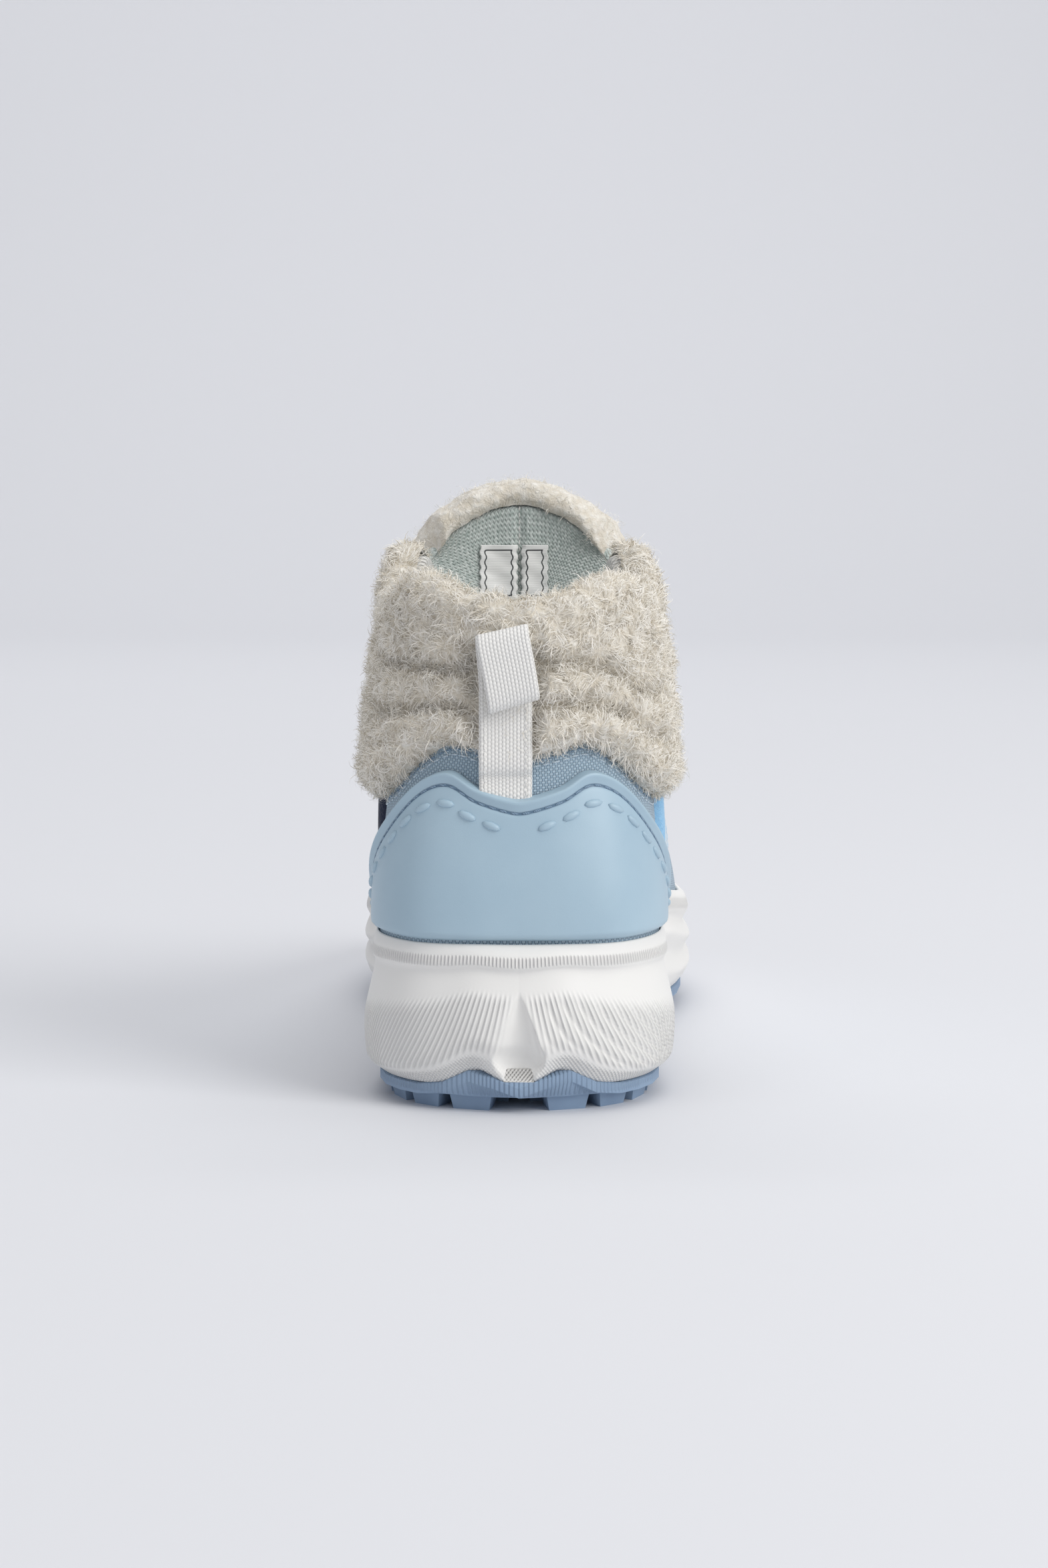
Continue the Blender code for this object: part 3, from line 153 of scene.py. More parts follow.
SOLE_HEIGHTS = (
    # along, footbed, rim, edge, ground: shares of their heights at the heel and of the toe spring
    (0.00, 1.00, 1.00, 1.10, 0.00), (0.10, 1.00, 1.01, 1.00, 0.00), (0.25, 0.98, 1.03, 1.00, 0.00),
    (0.40, 0.90, 1.00, 1.10, 0.16), (0.55, 0.74, 0.90, 1.10, 0.00), (0.68, 0.65, 0.80, 1.08, 0.00),
    (0.80, 0.64, 0.80, 1.40, 0.14), (0.90, 0.68, 0.86, 2.00, 0.46), (1.00, 0.76, 0.97, 2.95, 1.00),
)
MIDSOLE_SIDE = (
    # way, then height share and inset share of: crest, rim foot, undercut, upper crease, middle,
    # lower crease, chamfer, bottom edge
    (0.00, 0.92, 0.100, 0.83, 0.085, 0.79, 0.110, 0.57, 0.055, 0.42, 0.022, 0.28, 0.000, 0.14, 0.018, 0.0, 0.060),
    (0.06, 0.92, 0.085, 0.83, 0.072, 0.79, 0.095, 0.53, 0.030, 0.37, 0.012, 0.21, 0.000, 0.10, 0.022, 0.0, 0.070),
    (0.12, 0.92, 0.062, 0.83, 0.050, 0.78, 0.068, 0.46, 0.004, 0.28, 0.002, 0.11, 0.006, 0.06, 0.034, 0.0, 0.090),
    (0.20, 0.91, 0.050, 0.81, 0.036, 0.76, 0.062, 0.40, 0.000, 0.27, 0.000, 0.12, 0.008, 0.06, 0.030, 0.0, 0.090),
    (0.32, 0.95, 0.045, 0.84, 0.030, 0.76, 0.065, 0.50, 0.010, 0.38, 0.030, 0.22, 0.006, 0.10, 0.030, 0.0, 0.090),
    (0.45, 0.94, 0.040, 0.81, 0.025, 0.71, 0.062, 0.56, 0.010, 0.42, 0.050, 0.25, 0.006, 0.10, 0.034, 0.0, 0.085),
    (0.58, 0.93, 0.040, 0.79, 0.016, 0.67, 0.060, 0.53, 0.006, 0.39, 0.052, 0.22, 0.006, 0.09, 0.034, 0.0, 0.075),
    (0.72, 0.92, 0.036, 0.77, 0.014, 0.66, 0.056, 0.52, 0.004, 0.38, 0.048, 0.22, 0.006, 0.09, 0.032, 0.0, 0.070),
    (0.87, 0.93, 0.045, 0.79, 0.022, 0.68, 0.056, 0.54, 0.010, 0.40, 0.044, 0.24, 0.008, 0.10, 0.028, 0.0, 0.066),
    (1.00, 0.94, 0.070, 0.81, 0.040, 0.69, 0.066, 0.55, 0.018, 0.41, 0.044, 0.25, 0.010, 0.10, 0.028, 0.0, 0.062),
)
TOP_EDGE = (
    # along, across, height of the collar's and throat's edge
    (0.074, 0.00, 1.000), (0.093, 0.26, 1.020), (0.138, 0.45, 1.052), (0.205, 0.565, 1.005),
    (0.260, 0.61, 0.962), (0.305, 0.61, 1.030), (0.338, 0.575, 1.098), (0.374, 0.48, 1.030),
    (0.425, 0.375, 0.905), (0.515, 0.305, 0.750), (0.605, 0.245, 0.620), (0.636, 0.10, 0.578),
    (0.641, 0.00, 0.570),
)
UPPER_STATIONS = (
    # way, top edge way, low out, low up, high out, high down
    (0.00, 0.00, 0.080, 0.34, 0.075, 0.32), (0.10, 0.085, 0.080, 0.34, 0.080, 0.32),
    (0.20, 0.190, 0.075, 0.32, 0.090, 0.34), (0.30, 0.315, 0.070, 0.32, 0.110, 0.36),
    (0.40, 0.440, 0.070, 0.30, 0.190, 0.38), (0.50, 0.590, 0.070, 0.30, 0.290, 0.24),
    (0.60, 0.730, 0.065, 0.32, 0.330, 0.14), (0.70, 0.850, 0.055, 0.40, 0.380, 0.06),
    (0.80, 0.925, 0.045, 0.46, 0.480, 0.06), (0.90, 0.968, 0.035, 0.52, 0.640, 0.12),
    (1.00, 1.000, 0.030, 0.56, 0.740, 0.16),
)


def read_curve(rows, at, column=1):
    """A column of a table, read between its rows along a curve that keeps each row's slope."""
    xs, ys = (np.array([row[k] for row in rows], float) for k in (0, column))
    at = np.clip(at, xs[0], xs[-1])
    k = np.clip(np.searchsorted(xs, at) - 1, 0, len(xs) - 2)
    order = np.arange(len(xs))
    low, high = np.maximum(order - 1, 0), np.minimum(order + 1, len(xs) - 1)
    slope = (ys[high] - ys[low]) / (xs[high] - xs[low])
    step = xs[k + 1] - xs[k]
    t = (at - xs[k]) / step
    return ((2 * t**3 - 3 * t**2 + 1) * ys[k] + (t**3 - 2 * t**2 + t) * step * slope[k]
            + (3 * t**2 - 2 * t**3) * ys[k + 1] + (t**3 - t**2) * step * slope[k + 1])


def curve_through(points, closed=False, per_span=24):
    """Points along a curve that passes through each of the given ones."""
    points = np.asarray(points, float)
    count = len(points)
    found = []
    for k in range(count if closed else count - 1):
        near = [(k + j) % count if closed else min(max(k + j, 0), count - 1) for j in (-1, 0, 1, 2)]
        a, b, c, d = points[near]
        for t in np.arange(per_span) / per_span:
            found.append(0.5 * (2 * b + (c - a) * t + (2 * a - 5 * b + 4 * c - d) * t**2
                                + (3 * b - a - 3 * c + d) * t**3))
    return np.array(found if closed else [*found, points[-1]])


def ways_of(line):
    run = np.concatenate([[0.0], np.cumsum(np.linalg.norm(np.diff(line, axis=0), axis=1))])
    return run / run[-1], run[-1]


# The sole's outline, read at 4001 ways from the toe's tip round the medial side to the heel and on.
ring = [(0.0, 0.0), *((x * BALL_HALF, y * SOLE_LENGTH) for y, x, _ in SOLE_OUTLINE),
        (TOE_TIP * BALL_HALF, SOLE_LENGTH),
        *((-x * BALL_HALF, y * SOLE_LENGTH) for y, _, x in reversed(SOLE_OUTLINE))]
outline_curve = curve_through(ring, closed=True)
toe = int(np.argmax(outline_curve[:, 1]))
lateral = outline_curve[:toe + 1]
medial = np.vstack([outline_curve[:1], outline_curve[:toe:-1], outline_curve[toe:toe + 1]])
WAYS = np.linspace(-1.0, 1.0, 4001)
(lateral_ways, SIDE_LENGTH), (medial_ways, _) = ways_of(lateral), ways_of(medial)
OUTLINE = np.where(
    (WAYS >= 0)[:, None],
    np.stack([np.interp(WAYS, lateral_ways, lateral[:, k]) for k in (0, 1)], axis=1),
    np.stack([np.interp(-WAYS, medial_ways, medial[:, k]) for k in (0, 1)], axis=1),
)
ahead = np.roll(OUTLINE, -12, axis=0) - np.roll(OUTLINE, 12, axis=0)
ahead[:12], ahead[-12:] = ahead[12], ahead[-13]
OUTWARD = np.stack([ahead[:, 1], -ahead[:, 0]], axis=1) / np.linalg.norm(ahead, axis=1)[:, None]


def outline(u, inset=0.0):
    """x and y of the sole's outline at ways around, moved inwards."""
    at = [np.interp(u, WAYS, table[:, k]) for table in (OUTLINE, OUTWARD) for k in (0, 1)]
    return at[0] - at[2] * inset, at[1] - at[3] * inset


def rim(y):
    return RIM_HEIGHT * read_curve(SOLE_HEIGHTS, y / SOLE_LENGTH, 2)


def sole_edge(u, y):
    hump = HEEL_HUMP * np.exp(-(((abs(u) - 0.038) / 0.022) ** 2))
    return SOLE_EDGE * read_curve(SOLE_HEIGHTS, y / SOLE_LENGTH, 3) + hump


# The wall's four steering points at each way, from the feather edge to the top edge.
edge_rows = [(x * BALL_HALF, y * SOLE_LENGTH, z * COLLAR_HEIGHT) for y, x, z in TOP_EDGE]
edge_line = curve_through([*((-x, y, z) for x, y, z in edge_rows[2:0:-1]), *edge_rows])
edge_line = edge_line[np.argmin(np.linalg.norm(edge_line - np.array(edge_rows[0]), axis=1)):]
edge_ways, EDGE_LENGTH = ways_of(edge_line)
tuck = 1.0 + 1.15 * np.exp(-((WAYS / 0.07) ** 2)) + 0.35 * np.exp(-(((1 - abs(WAYS)) / 0.12) ** 2))
foot_x, foot_y = outline(WAYS, FEATHER_INSET * tuck)
foot = np.stack([foot_x, foot_y,
                 HEEL_FOOTBED * read_curve(SOLE_HEIGHTS, foot_y / SOLE_LENGTH, 1) + GAP], axis=1)
edge_at = read_curve(UPPER_STATIONS, abs(WAYS), 1)
edge = np.stack([np.interp(edge_at, edge_ways, edge_line[:, k]) for k in range(3)], axis=1)
edge[:, 0] *= np.where(WAYS < 0, -1.0, 1.0)
outward = np.column_stack([OUTWARD, np.zeros(len(WAYS))])
rise = np.zeros_like(foot)
rise[:, 2] = edge[:, 2] - foot[:, 2]
pulls = [read_curve(UPPER_STATIONS, abs(WAYS), k)[:, None] for k in (2, 3, 4, 5)]
STEERING = np.stack([foot, foot + outward * pulls[0] * BALL_HALF + rise * pulls[1],
                     edge + outward * pulls[2] * BALL_HALF - rise * pulls[3], edge], axis=1)


def wall(u, v, out=0.0):
    """Points of the upper's outer face, or a distance off it, at ways around and up."""
    u, v, out = np.broadcast_arrays(np.asarray(u, float), np.asarray(v, float), np.asarray(out, float))

    def face(u, v):
        steer = [np.stack([np.interp(u, WAYS, STEERING[:, k, c]) for c in range(3)], -1) for k in range(4)]
        v, w = v[..., None], 1.0 - v[..., None]
        return steer[0] * w**3 + steer[1] * 3 * w * w * v + steer[2] * 3 * w * v * v + steer[3] * v**3

    along = face(np.minimum(u + 0.006, 1.0), v) - face(np.maximum(u - 0.006, -1.0), v)
    above = face(u, np.minimum(v + 0.01, 1.0)) - face(u, np.maximum(v - 0.01, 0.0))
    normal = np.cross(along, above)
    normal /= np.linalg.norm(normal, axis=-1)[..., None]
    return face(u, v) + normal * out[..., None]


def v_at(u, height):
    """How far up the wall a height lies, at ways around."""
    low, high = np.zeros_like(u, dtype=float), np.ones_like(u, dtype=float)
    for _ in range(22):
        middle = (low + high) / 2
        below = wall(u, middle)[..., 2] < height
        low, high = np.where(below, middle, low), np.where(below, high, middle)
    return (low + high) / 2


def crowded(count, low=-1.0, high=1.0):
    """Ways around that lie closer together at the heel and the toe."""
    t = np.linspace(low, high, count)
    return t - 0.11 * np.sin(2 * math.pi * t)


def smooth_step(at, low, high):
    share = np.clip((at - low) / (high - low), 0.0, 1.0)
    return share * share * (3 - 2 * share)


def to_row(points):
    """Millimetres from the heel's back to metres in the row's frame."""
    return (np.asarray(points, float) - SHOE_CENTRE) * 0.001


def add_mesh(name, points, faces, uv=None, marks=None):
    """An object from points in millimetres, with a UV map in millimetres and named marks on its points."""
    mesh = bpy.data.meshes.new(name)
    mesh.from_pydata(to_row(points).tolist(), [], [tuple(int(c) for c in face) for face in faces])
    mesh.shade_smooth()
    corners = np.zeros(len(mesh.loops), int)
    mesh.loops.foreach_get("vertex_index", corners)
    if uv is not None:
        layer = mesh.uv_layers.new(name="cloth")
        layer.data.foreach_set("uv", np.asarray(uv, float)[corners].ravel())
    for mark, values in (marks or {}).items():
        mesh.attributes.new(mark, "FLOAT", "POINT").data.foreach_set("value", np.ravel(values).astype(float))
    made = bpy.data.objects.new(name, mesh)
    bpy.context.scene.collection.objects.link(made)
    return made


def grid_faces(rows, columns, joined=False):
    r, c = np.meshgrid(np.arange(rows - 1), np.arange(columns if joined else columns - 1), indexing="ij")
    d = (c + 1) % columns
    return np.stack([r * columns + c, r * columns + d, (r + 1) * columns + d, (r + 1) * columns + c],
                    -1).reshape(-1, 4)


def add_sheet(name, grid, joined=False, marks=None, flip=False):
    """A sheet through a grid of points (row up, column around), unrolled onto a UV map in millimetres."""
    grid = np.asarray(grid, float)
    rows, columns = grid.shape[:2]
    across = np.linalg.norm(np.diff(grid, axis=1), axis=2).mean(axis=0)
    up = np.linalg.norm(np.diff(grid, axis=0), axis=2).mean(axis=1)
    us, vs = np.concatenate([[0.0], np.cumsum(across)]), np.concatenate([[0.0], np.cumsum(up)])
    uv = np.stack([np.broadcast_to(us, (rows, columns)), np.broadcast_to(vs[:, None], (rows, columns))], -1)
    faces = grid_faces(rows, columns, joined)
    return add_mesh(name, grid.reshape(-1, 3), faces[:, ::-1] if flip else faces, uv.reshape(-1, 2), marks)


def finish_piece(piece, nodes=()):
    """Says what a piece stands for by hiding the imported nodes that it replaces; the whole shoe is one body."""
    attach(piece, "root")
    if nodes:
        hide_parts(*nodes)
    return piece


midsole_ways = crowded(641)[:-1]
turns = []
for column in range(1, len(MIDSOLE_SIDE[0]), 2):
    way = abs(midsole_ways)
    height, inset = read_curve(MIDSOLE_SIDE, way, column), read_curve(MIDSOLE_SIDE, way, column + 1)
    fold = np.sin(math.pi * np.clip((way - 0.34) / 0.56, 0.0, 1.0))
    if 5 <= column < 13:
        height = height + 0.045 * fold * np.sin(22 * way + 0.8 * (column + 1) / 2)
    x, y = outline(midsole_ways, inset * BALL_HALF)
    low = sole_edge(midsole_ways, y)
    turns.append(np.stack([x, y, low + (rim(y) - low) * height], axis=1))
# From the dish's floor up its wall, over the rim's sloping ledge and down the side to the bottom edge.
feather = wall(midsole_ways, 0.0, GAP)
feather[:, 2] -= GAP
dish_top = wall(midsole_ways, v_at(midsole_ways, rim(feather[:, 1])), GAP)
dish_middle = wall(midsole_ways, v_at(midsole_ways, (rim(feather[:, 1]) + feather[:, 2]) / 2), GAP)
stations = [feather, dish_middle, dish_top, *turns]
steps = (1, 3, 5, 6, 5, 9, 7, 8, 7, 5)
rows = [stations[0] + (stations[1] - stations[0]) * 0.0]
levels = [0.0]
for k, count in enumerate(steps):
    for share in (np.arange(count) + 1) / count:
        rows.append(stations[k] * (1 - share) + stations[k + 1] * share)
        levels.append(k + share)
side = np.array(rows)
for _ in range(2):
    side[1:-1] = side[1:-1] * 0.5 + (side[2:] + side[:-2]) * 0.25
levels = np.array(levels)[:, None] * np.ones(len(midsole_ways))
around = midsole_ways * SIDE_LENGTH * np.ones_like(levels)
heights = side[..., 2]
# The hollow at the middle of the back, pointed above, round below, crisp on the right and soft on the left.
back_foot = float(sole_edge(0.0, 0.0))
flute = ((0.0, 0.50), (0.14, 0.70), (0.20, 0.90), (0.30, 1.0), (0.45, 0.80), (0.68, 0.50), (0.88, 0.22), (1.0, 0.0))
radius = read_curve(flute, (heights - back_foot) / (FLUTE_TOP - back_foot)) * FLUTE_WIDTH / 2
radius = np.where(heights < FLUTE_TOP, np.maximum(radius, 0.01), 0.01)
hollow = np.sqrt(np.maximum(radius**2 - side[..., 0]**2, 0.0)) - 0.3 * radius
in_flute = (levels > 3.2) & (abs(midsole_ways) < 0.08) & (hollow > 0)
carve = np.where(in_flute, hollow, 0.0)
side[..., 1] += carve
smooth_middle = np.exp(-((side[..., 0] / (radius + 1.6)) ** 4)) * (abs(midsole_ways) < 0.1) * (levels > 4)
# Marks for the ribs: fine ones fan down and outwards at the left of the heel, long bent ones at the right.
heel = 1.0 - smooth_step(abs(midsole_ways), 0.24, 0.34)
band = smooth_step(levels, 5.6, 6.0) * (1 - smooth_step(levels, 8.5, 8.9)) * heel * (1 - smooth_middle)
lean = (RIM_HEIGHT * 0.75 - heights) * (0.10 + 0.55 * np.minimum(abs(around) / 45.0, 1.0))
fine_rib = (abs(around) - lean) / 1.35
long_rib = (abs(around) - lean * 1.5 - 0.012 * (RIM_HEIGHT * 0.7 - heights) ** 2) / 4.2
right = smooth_step(midsole_ways, 0.015, 0.03)
groove = (0.5 - 0.5 * np.cos(2 * math.pi * long_rib)) ** 4
long_band = band * right * smooth_step(levels, 5.8, 6.3) * (1 - smooth_step(levels, 8.0, 8.6))
nudge = -0.75 * groove * long_band
normal_x, normal_y = (np.interp(midsole_ways, WAYS, OUTWARD[:, k]) for k in (0, 1))
side[..., 0] += normal_x * nudge
side[..., 1] += normal_y * nudge
marks = {
    "rib": fine_rib, "ribbed": band * (1 - 0.6 * right * groove),
    "knurled_rim": smooth_step(levels, 3.15, 3.4) * (1 - smooth_step(levels, 3.95, 4.1)),
    "dotted": smooth_step(levels, 8.9, 9.1) * (1 - smooth_middle) * heel,
    "around": around, "height": heights,
}
midsole = add_sheet("midsole_foam_block", side[::-1], joined=True, marks={k: v[::-1] for k, v in marks.items()})
mesh = bmesh.new()
mesh.from_mesh(midsole.data)
mesh.verts.ensure_lookup_table()
columns = len(midsole_ways)
for start in (0, (len(rows) - 1) * columns):
    # straight across from the medial to the lateral side, so the shoe's floor and dish stay flat
    for c in range(columns // 2):
        a, b = start + c, start + (c + 1)
        d, e = start + (columns - c) % columns, start + (columns - c - 1) % columns
        corners = list(dict.fromkeys((a, b, e, d)))
        if len(corners) > 2:
            mesh.faces.new([mesh.verts[n] for n in corners])
bmesh.ops.recalc_face_normals(mesh, faces=mesh.faces)
mesh.to_mesh(midsole.data)
mesh.free()
midsole.data.shade_smooth()

# Compression-moulded EVA, matt white: fine ribs and dots from the mould, with a faint grey of painted shade in their
# hollows.
eva_white, tree, shader = new_material("moulded_eva_foam", "F1F0EC", 0.52, Specular_IOR_Level=0.35)
read = {mark: add_node(tree, "ShaderNodeAttribute", attribute_name=mark).outputs["Fac"] for mark in marks}
rib_turn = add_node(tree, "ShaderNodeMath", {0: read["rib"], 1: 2 * math.pi}, operation="MULTIPLY").outputs[0]
rib_wave = add_node(tree, "ShaderNodeMath", {0: rib_turn}, operation="SINE").outputs[0]
ribs = add_node(tree, "ShaderNodeMath", {0: rib_wave, 1: read["ribbed"]}, operation="MULTIPLY").outputs[0]
rim_turn = add_node(tree, "ShaderNodeMath", {0: read["around"], 1: 2 * math.pi / 1.1},
                    operation="MULTIPLY").outputs[0]
rim_wave = add_node(tree, "ShaderNodeMath", {0: rim_turn}, operation="SINE").outputs[0]
knurls = add_node(tree, "ShaderNodeMath", {0: rim_wave, 1: read["knurled_rim"]}, operation="MULTIPLY").outputs[0]
up_turn = add_node(tree, "ShaderNodeMath", {0: read["height"], 1: 2 * math.pi / 1.2},
                   operation="MULTIPLY").outputs[0]
up_wave = add_node(tree, "ShaderNodeMath", {0: up_turn}, operation="SINE").outputs[0]
dot_wave = add_node(tree, "ShaderNodeMath", {0: rim_wave, 1: up_wave}, operation="MULTIPLY").outputs[0]
dots = add_node(tree, "ShaderNodeMath", {0: dot_wave, 1: read["dotted"]}, operation="MULTIPLY").outputs[0]
relief = add_node(tree, "ShaderNodeMath", {0: ribs, 1: knurls}, operation="ADD").outputs[0]
relief = add_node(tree, "ShaderNodeMath", {0: relief, 1: dots}, operation="ADD").outputs[0]
place = add_node(tree, "ShaderNodeTexCoord").outputs["Object"]
pebble = add_node(tree, "ShaderNodeTexNoise", {"Vector": place, "Scale": 1400.0, "Detail": 3.0}).outputs[0]
grain = add_node(tree, "ShaderNodeBump", {"Height": pebble, "Strength": 0.25, "Distance": 0.0001})
bump = add_node(tree, "ShaderNodeBump", {"Height": relief, "Strength": 0.9, "Distance": 0.00022,
                                         "Normal": grain.outputs[0]})
tree.links.new(bump.outputs[0], shader.inputs["Normal"])
# painted shade: the low parts of the ribs, knurls and dots are tinted grey
shadow = add_node(tree, "ShaderNodeMapRange", {0: relief, 1: -1.0, 2: 0.2, 3: 1.0, 4: 0.0}).outputs[0]
tone = add_node(tree, "ShaderNodeMix", {0: shadow, 6: linear("F2F1EE"), 7: linear("DCDBD9")}, data_type="RGBA")
tree.links.new(tone.outputs[2], shader.inputs["Base Color"])
midsole.data.materials.append(eva_white)
finish_piece(midsole, ["midsole"])

# Outsole: blue rubber moulded in one piece, a sheet with a finely ridged lip and chunky lugs with
# rounded edges under it, glued to the foam.
def copy_of(node, name):
    """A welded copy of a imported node's mesh."""
    copy = bpy.data.objects.new(name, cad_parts[node].data.copy())
    copy.data.materials.clear()
    bpy.context.scene.collection.objects.link(copy)
    mesh = bmesh.new()
    mesh.from_mesh(copy.data)
    bmesh.ops.remove_doubles(mesh, verts=mesh.verts, dist=0.00002)
    bmesh.ops.dissolve_limit(mesh, angle_limit=math.radians(2), verts=mesh.verts, edges=mesh.edges)
    mesh.to_mesh(copy.data)
    mesh.free()
    return copy


outsole = copy_of("outsole", "outsole_rubber_tread")
places = np.array([v.co for v in outsole.data.vertices]) * 1000 + SHOE_CENTRE
nearest = np.argmin(((places[:, None, :2] - OUTLINE[None, ::10]) ** 2).sum(-1), axis=1)
mark = outsole.data.attributes.new("around", "FLOAT", "POINT")
mark.data.foreach_set("value", WAYS[::10][nearest] * SIDE_LENGTH)
bevel = outsole.modifiers.new("rounded_edges", "BEVEL")
bevel.width, bevel.segments, bevel.limit_method, bevel.angle_limit = 0.0007, 2, "ANGLE", math.radians(35)
outsole.data.shade_smooth()
outsole.data.set_sharp_from_angle(angle=math.radians(50))
# Moulded rubber, satin slate blue: a fine grit, dust in its pores, and ridges around the lip 1.3 mm apart.
rubber_blue, tree, shader = new_material("moulded_outsole_rubber", "8FA6C1", 0.58, Specular_IOR_Level=0.4)
read_around = add_node(tree, "ShaderNodeAttribute", attribute_name="around").outputs["Fac"]
turn_around = add_node(tree, "ShaderNodeMath", {0: read_around, 1: 2 * math.pi / 1.3},
                       operation="MULTIPLY").outputs[0]
ridge = add_node(tree, "ShaderNodeMath", {0: turn_around}, operation="SINE").outputs[0]
place = add_node(tree, "ShaderNodeTexCoord").outputs["Object"]
place_z = add_node(tree, "ShaderNodeSeparateXYZ", {0: place}).outputs[2]
lip_only = add_node(tree, "ShaderNodeMapRange", {0: place_z, 1: 0.0042, 2: 0.0048, 3: 0.0, 4: 1.0}).outputs[0]
ridges = add_node(tree, "ShaderNodeMath", {0: ridge, 1: lip_only}, operation="MULTIPLY").outputs[0]
grit = add_node(tree, "ShaderNodeTexNoise", {"Vector": place, "Scale": 1500.0, "Detail": 4.0}).outputs[0]
fine = add_node(tree, "ShaderNodeBump", {"Height": grit, "Strength": 0.3, "Distance": 0.0001})
bump = add_node(tree, "ShaderNodeBump", {"Height": ridges, "Strength": 0.8, "Distance": 0.0002,
                                         "Normal": fine.outputs[0]})
tree.links.new(bump.outputs[0], shader.inputs["Normal"])
patches = add_node(tree, "ShaderNodeTexNoise", {"Vector": place, "Scale": 90.0, "Detail": 5.0}).outputs[0]
tone = add_node(tree, "ShaderNodeMix", {0: patches, 6: linear("8299B6"), 7: linear("9DB4CC")}, data_type="RGBA")
tree.links.new(tone.outputs[2], shader.inputs["Base Color"])
outsole.data.materials.append(rubber_blue)
finish_piece(outsole, ["outsole"])

# Upper: light-blue basket-woven cotton canvas over a foam and knit lining, lasted and glued into the
# midsole's dish; the collar's edge is turned over and closed with a ribbed knit band.
CANVAS_WALL, PADDED_WALL = 2.4, 5.0
COUNTER_HEIGHT, CANVAS_BAND, RIM_CLEARANCE = 81.0, 11.0, 1.0
FLEECE_LINE = COUNTER_HEIGHT + CANVAS_BAND
FLEECE_EDGE = ((0.0, 1.0), (0.045, 1.022), (0.078, 1.038), (0.11, 0.995), (0.16, 0.895), (0.22, 0.862),
               (0.31, 0.872), (0.38, 0.955), (0.44, 1.13))


def fleece_line(u):
    return v_at(u, FLEECE_LINE * read_curve(FLEECE_EDGE, abs(u)))


def wall_thickness(u, v):
    ankle = np.clip((0.50 - abs(u)) / 0.08, 0.0, 1.0)
    return CANVAS_WALL + (PADDED_WALL - CANVAS_WALL) * ankle * np.clip((v - 0.45) / 0.3, 0.0, 1.0)


upper_ways = crowded(521)[:-1]
upper_rows = np.linspace(0.0, 1.0, 64)[:, None]
canvas_marks = {"around": upper_ways * SIDE_LENGTH * np.ones_like(upper_rows)}
upper_canvas = add_sheet("upper_canvas", wall(upper_ways, upper_rows), joined=True, marks=canvas_marks)
top, below = wall(upper_ways, 1.0), wall(upper_ways, 0.96)
lift = (top - below) / np.linalg.norm(top - below, axis=1)[:, None]
thick = wall_thickness(upper_ways, np.ones(len(upper_ways)))
lining_rows = [top]
for a in np.linspace(0.25, math.pi - 0.25, 6):
    face = wall(upper_ways, 1.0, -thick * (1 - math.cos(a)) / 2)
    lining_rows.append(face + lift * (thick * 0.28 * math.sin(a))[:, None])
for v in np.linspace(1.0, 0.0, 30):
    lining_rows.append(wall(upper_ways, v, -wall_thickness(upper_ways, np.full(len(upper_ways), v))))
lining_rows.append(wall(upper_ways, 0.0))
upper_lining = add_sheet("upper_lining_knit", np.array(lining_rows), joined=True)

# Woven cotton canvas: a two-by-two basket of light-blue threads, 0.6 mm apart but drawn 0.75 mm to show,
# with slubs that lighten single threads, and painted shade that darkens the gaps between the threads.
canvas_blue, tree, shader = new_material("woven_cotton_canvas", "A2BACC", 0.85, Sheen_Weight=0.25,
                                         Specular_IOR_Level=0.2)
shader.inputs["Sheen Roughness"].default_value = 0.5
cloth = add_node(tree, "ShaderNodeUVMap", uv_map="cloth").outputs[0]
across, up = add_node(tree, "ShaderNodeSeparateXYZ", {0: cloth}).outputs[:2]
THREAD = 0.75
warp_turn = add_node(tree, "ShaderNodeMath", {0: across, 1: math.pi / THREAD}, operation="MULTIPLY").outputs[0]
weft_turn = add_node(tree, "ShaderNodeMath", {0: up, 1: math.pi / THREAD}, operation="MULTIPLY").outputs[0]
warp_wave = add_node(tree, "ShaderNodeMath", {0: warp_turn}, operation="SINE").outputs[0]
weft_wave = add_node(tree, "ShaderNodeMath", {0: weft_turn}, operation="SINE").outputs[0]
warp = add_node(tree, "ShaderNodeMath", {0: warp_wave}, operation="ABSOLUTE").outputs[0]
weft = add_node(tree, "ShaderNodeMath", {0: weft_wave}, operation="ABSOLUTE").outputs[0]
checker = add_node(tree, "ShaderNodeMath", {0: warp_wave, 1: weft_wave}, operation="MULTIPLY").outputs[0]
over = add_node(tree, "ShaderNodeMapRange", {0: checker, 1: -0.12, 2: 0.12}).outputs[0]
weave = add_node(tree, "ShaderNodeMix", {0: over, 2: warp, 3: weft}).outputs[0]
slub_place = add_node(tree, "ShaderNodeMapping", {0: cloth, 3: (0.25, 2.2, 1.0)}).outputs[0]
slubs = add_node(tree, "ShaderNodeTexNoise", {"Vector": slub_place, "Scale": 1.0, "Detail": 3.0}).outputs[0]
fuzz = add_node(tree, "ShaderNodeTexNoise", {"Vector": cloth, "Scale": 3.0, "Detail": 4.0}).outputs[0]
dark = add_node(tree, "ShaderNodeMix", {0: slubs, 6: linear("8FA9BE"), 7: linear("B3C8D7")},
                data_type="RGBA").outputs[2]
light = add_node(tree, "ShaderNodeMix", {0: fuzz, 6: linear("A6BFD1"), 7: linear("C9DAE5")},
                 data_type="RGBA").outputs[2]
# painted shade: the gaps between the threads are darkened to a deep blue
gap_shade = add_node(tree, "ShaderNodeMix", {0: weave, 6: linear("5C7690"), 7: dark}, data_type="RGBA").outputs[2]
tone = add_node(tree, "ShaderNodeMix", {0: over, 6: gap_shade, 7: light}, data_type="RGBA").outputs[2]
# painted shade: the weave's low parts are darkened once more
shadow = add_node(tree, "ShaderNodeMapRange", {0: weave, 1: 0.0, 2: 0.55, 3: 0.62, 4: 1.0}).outputs[0]
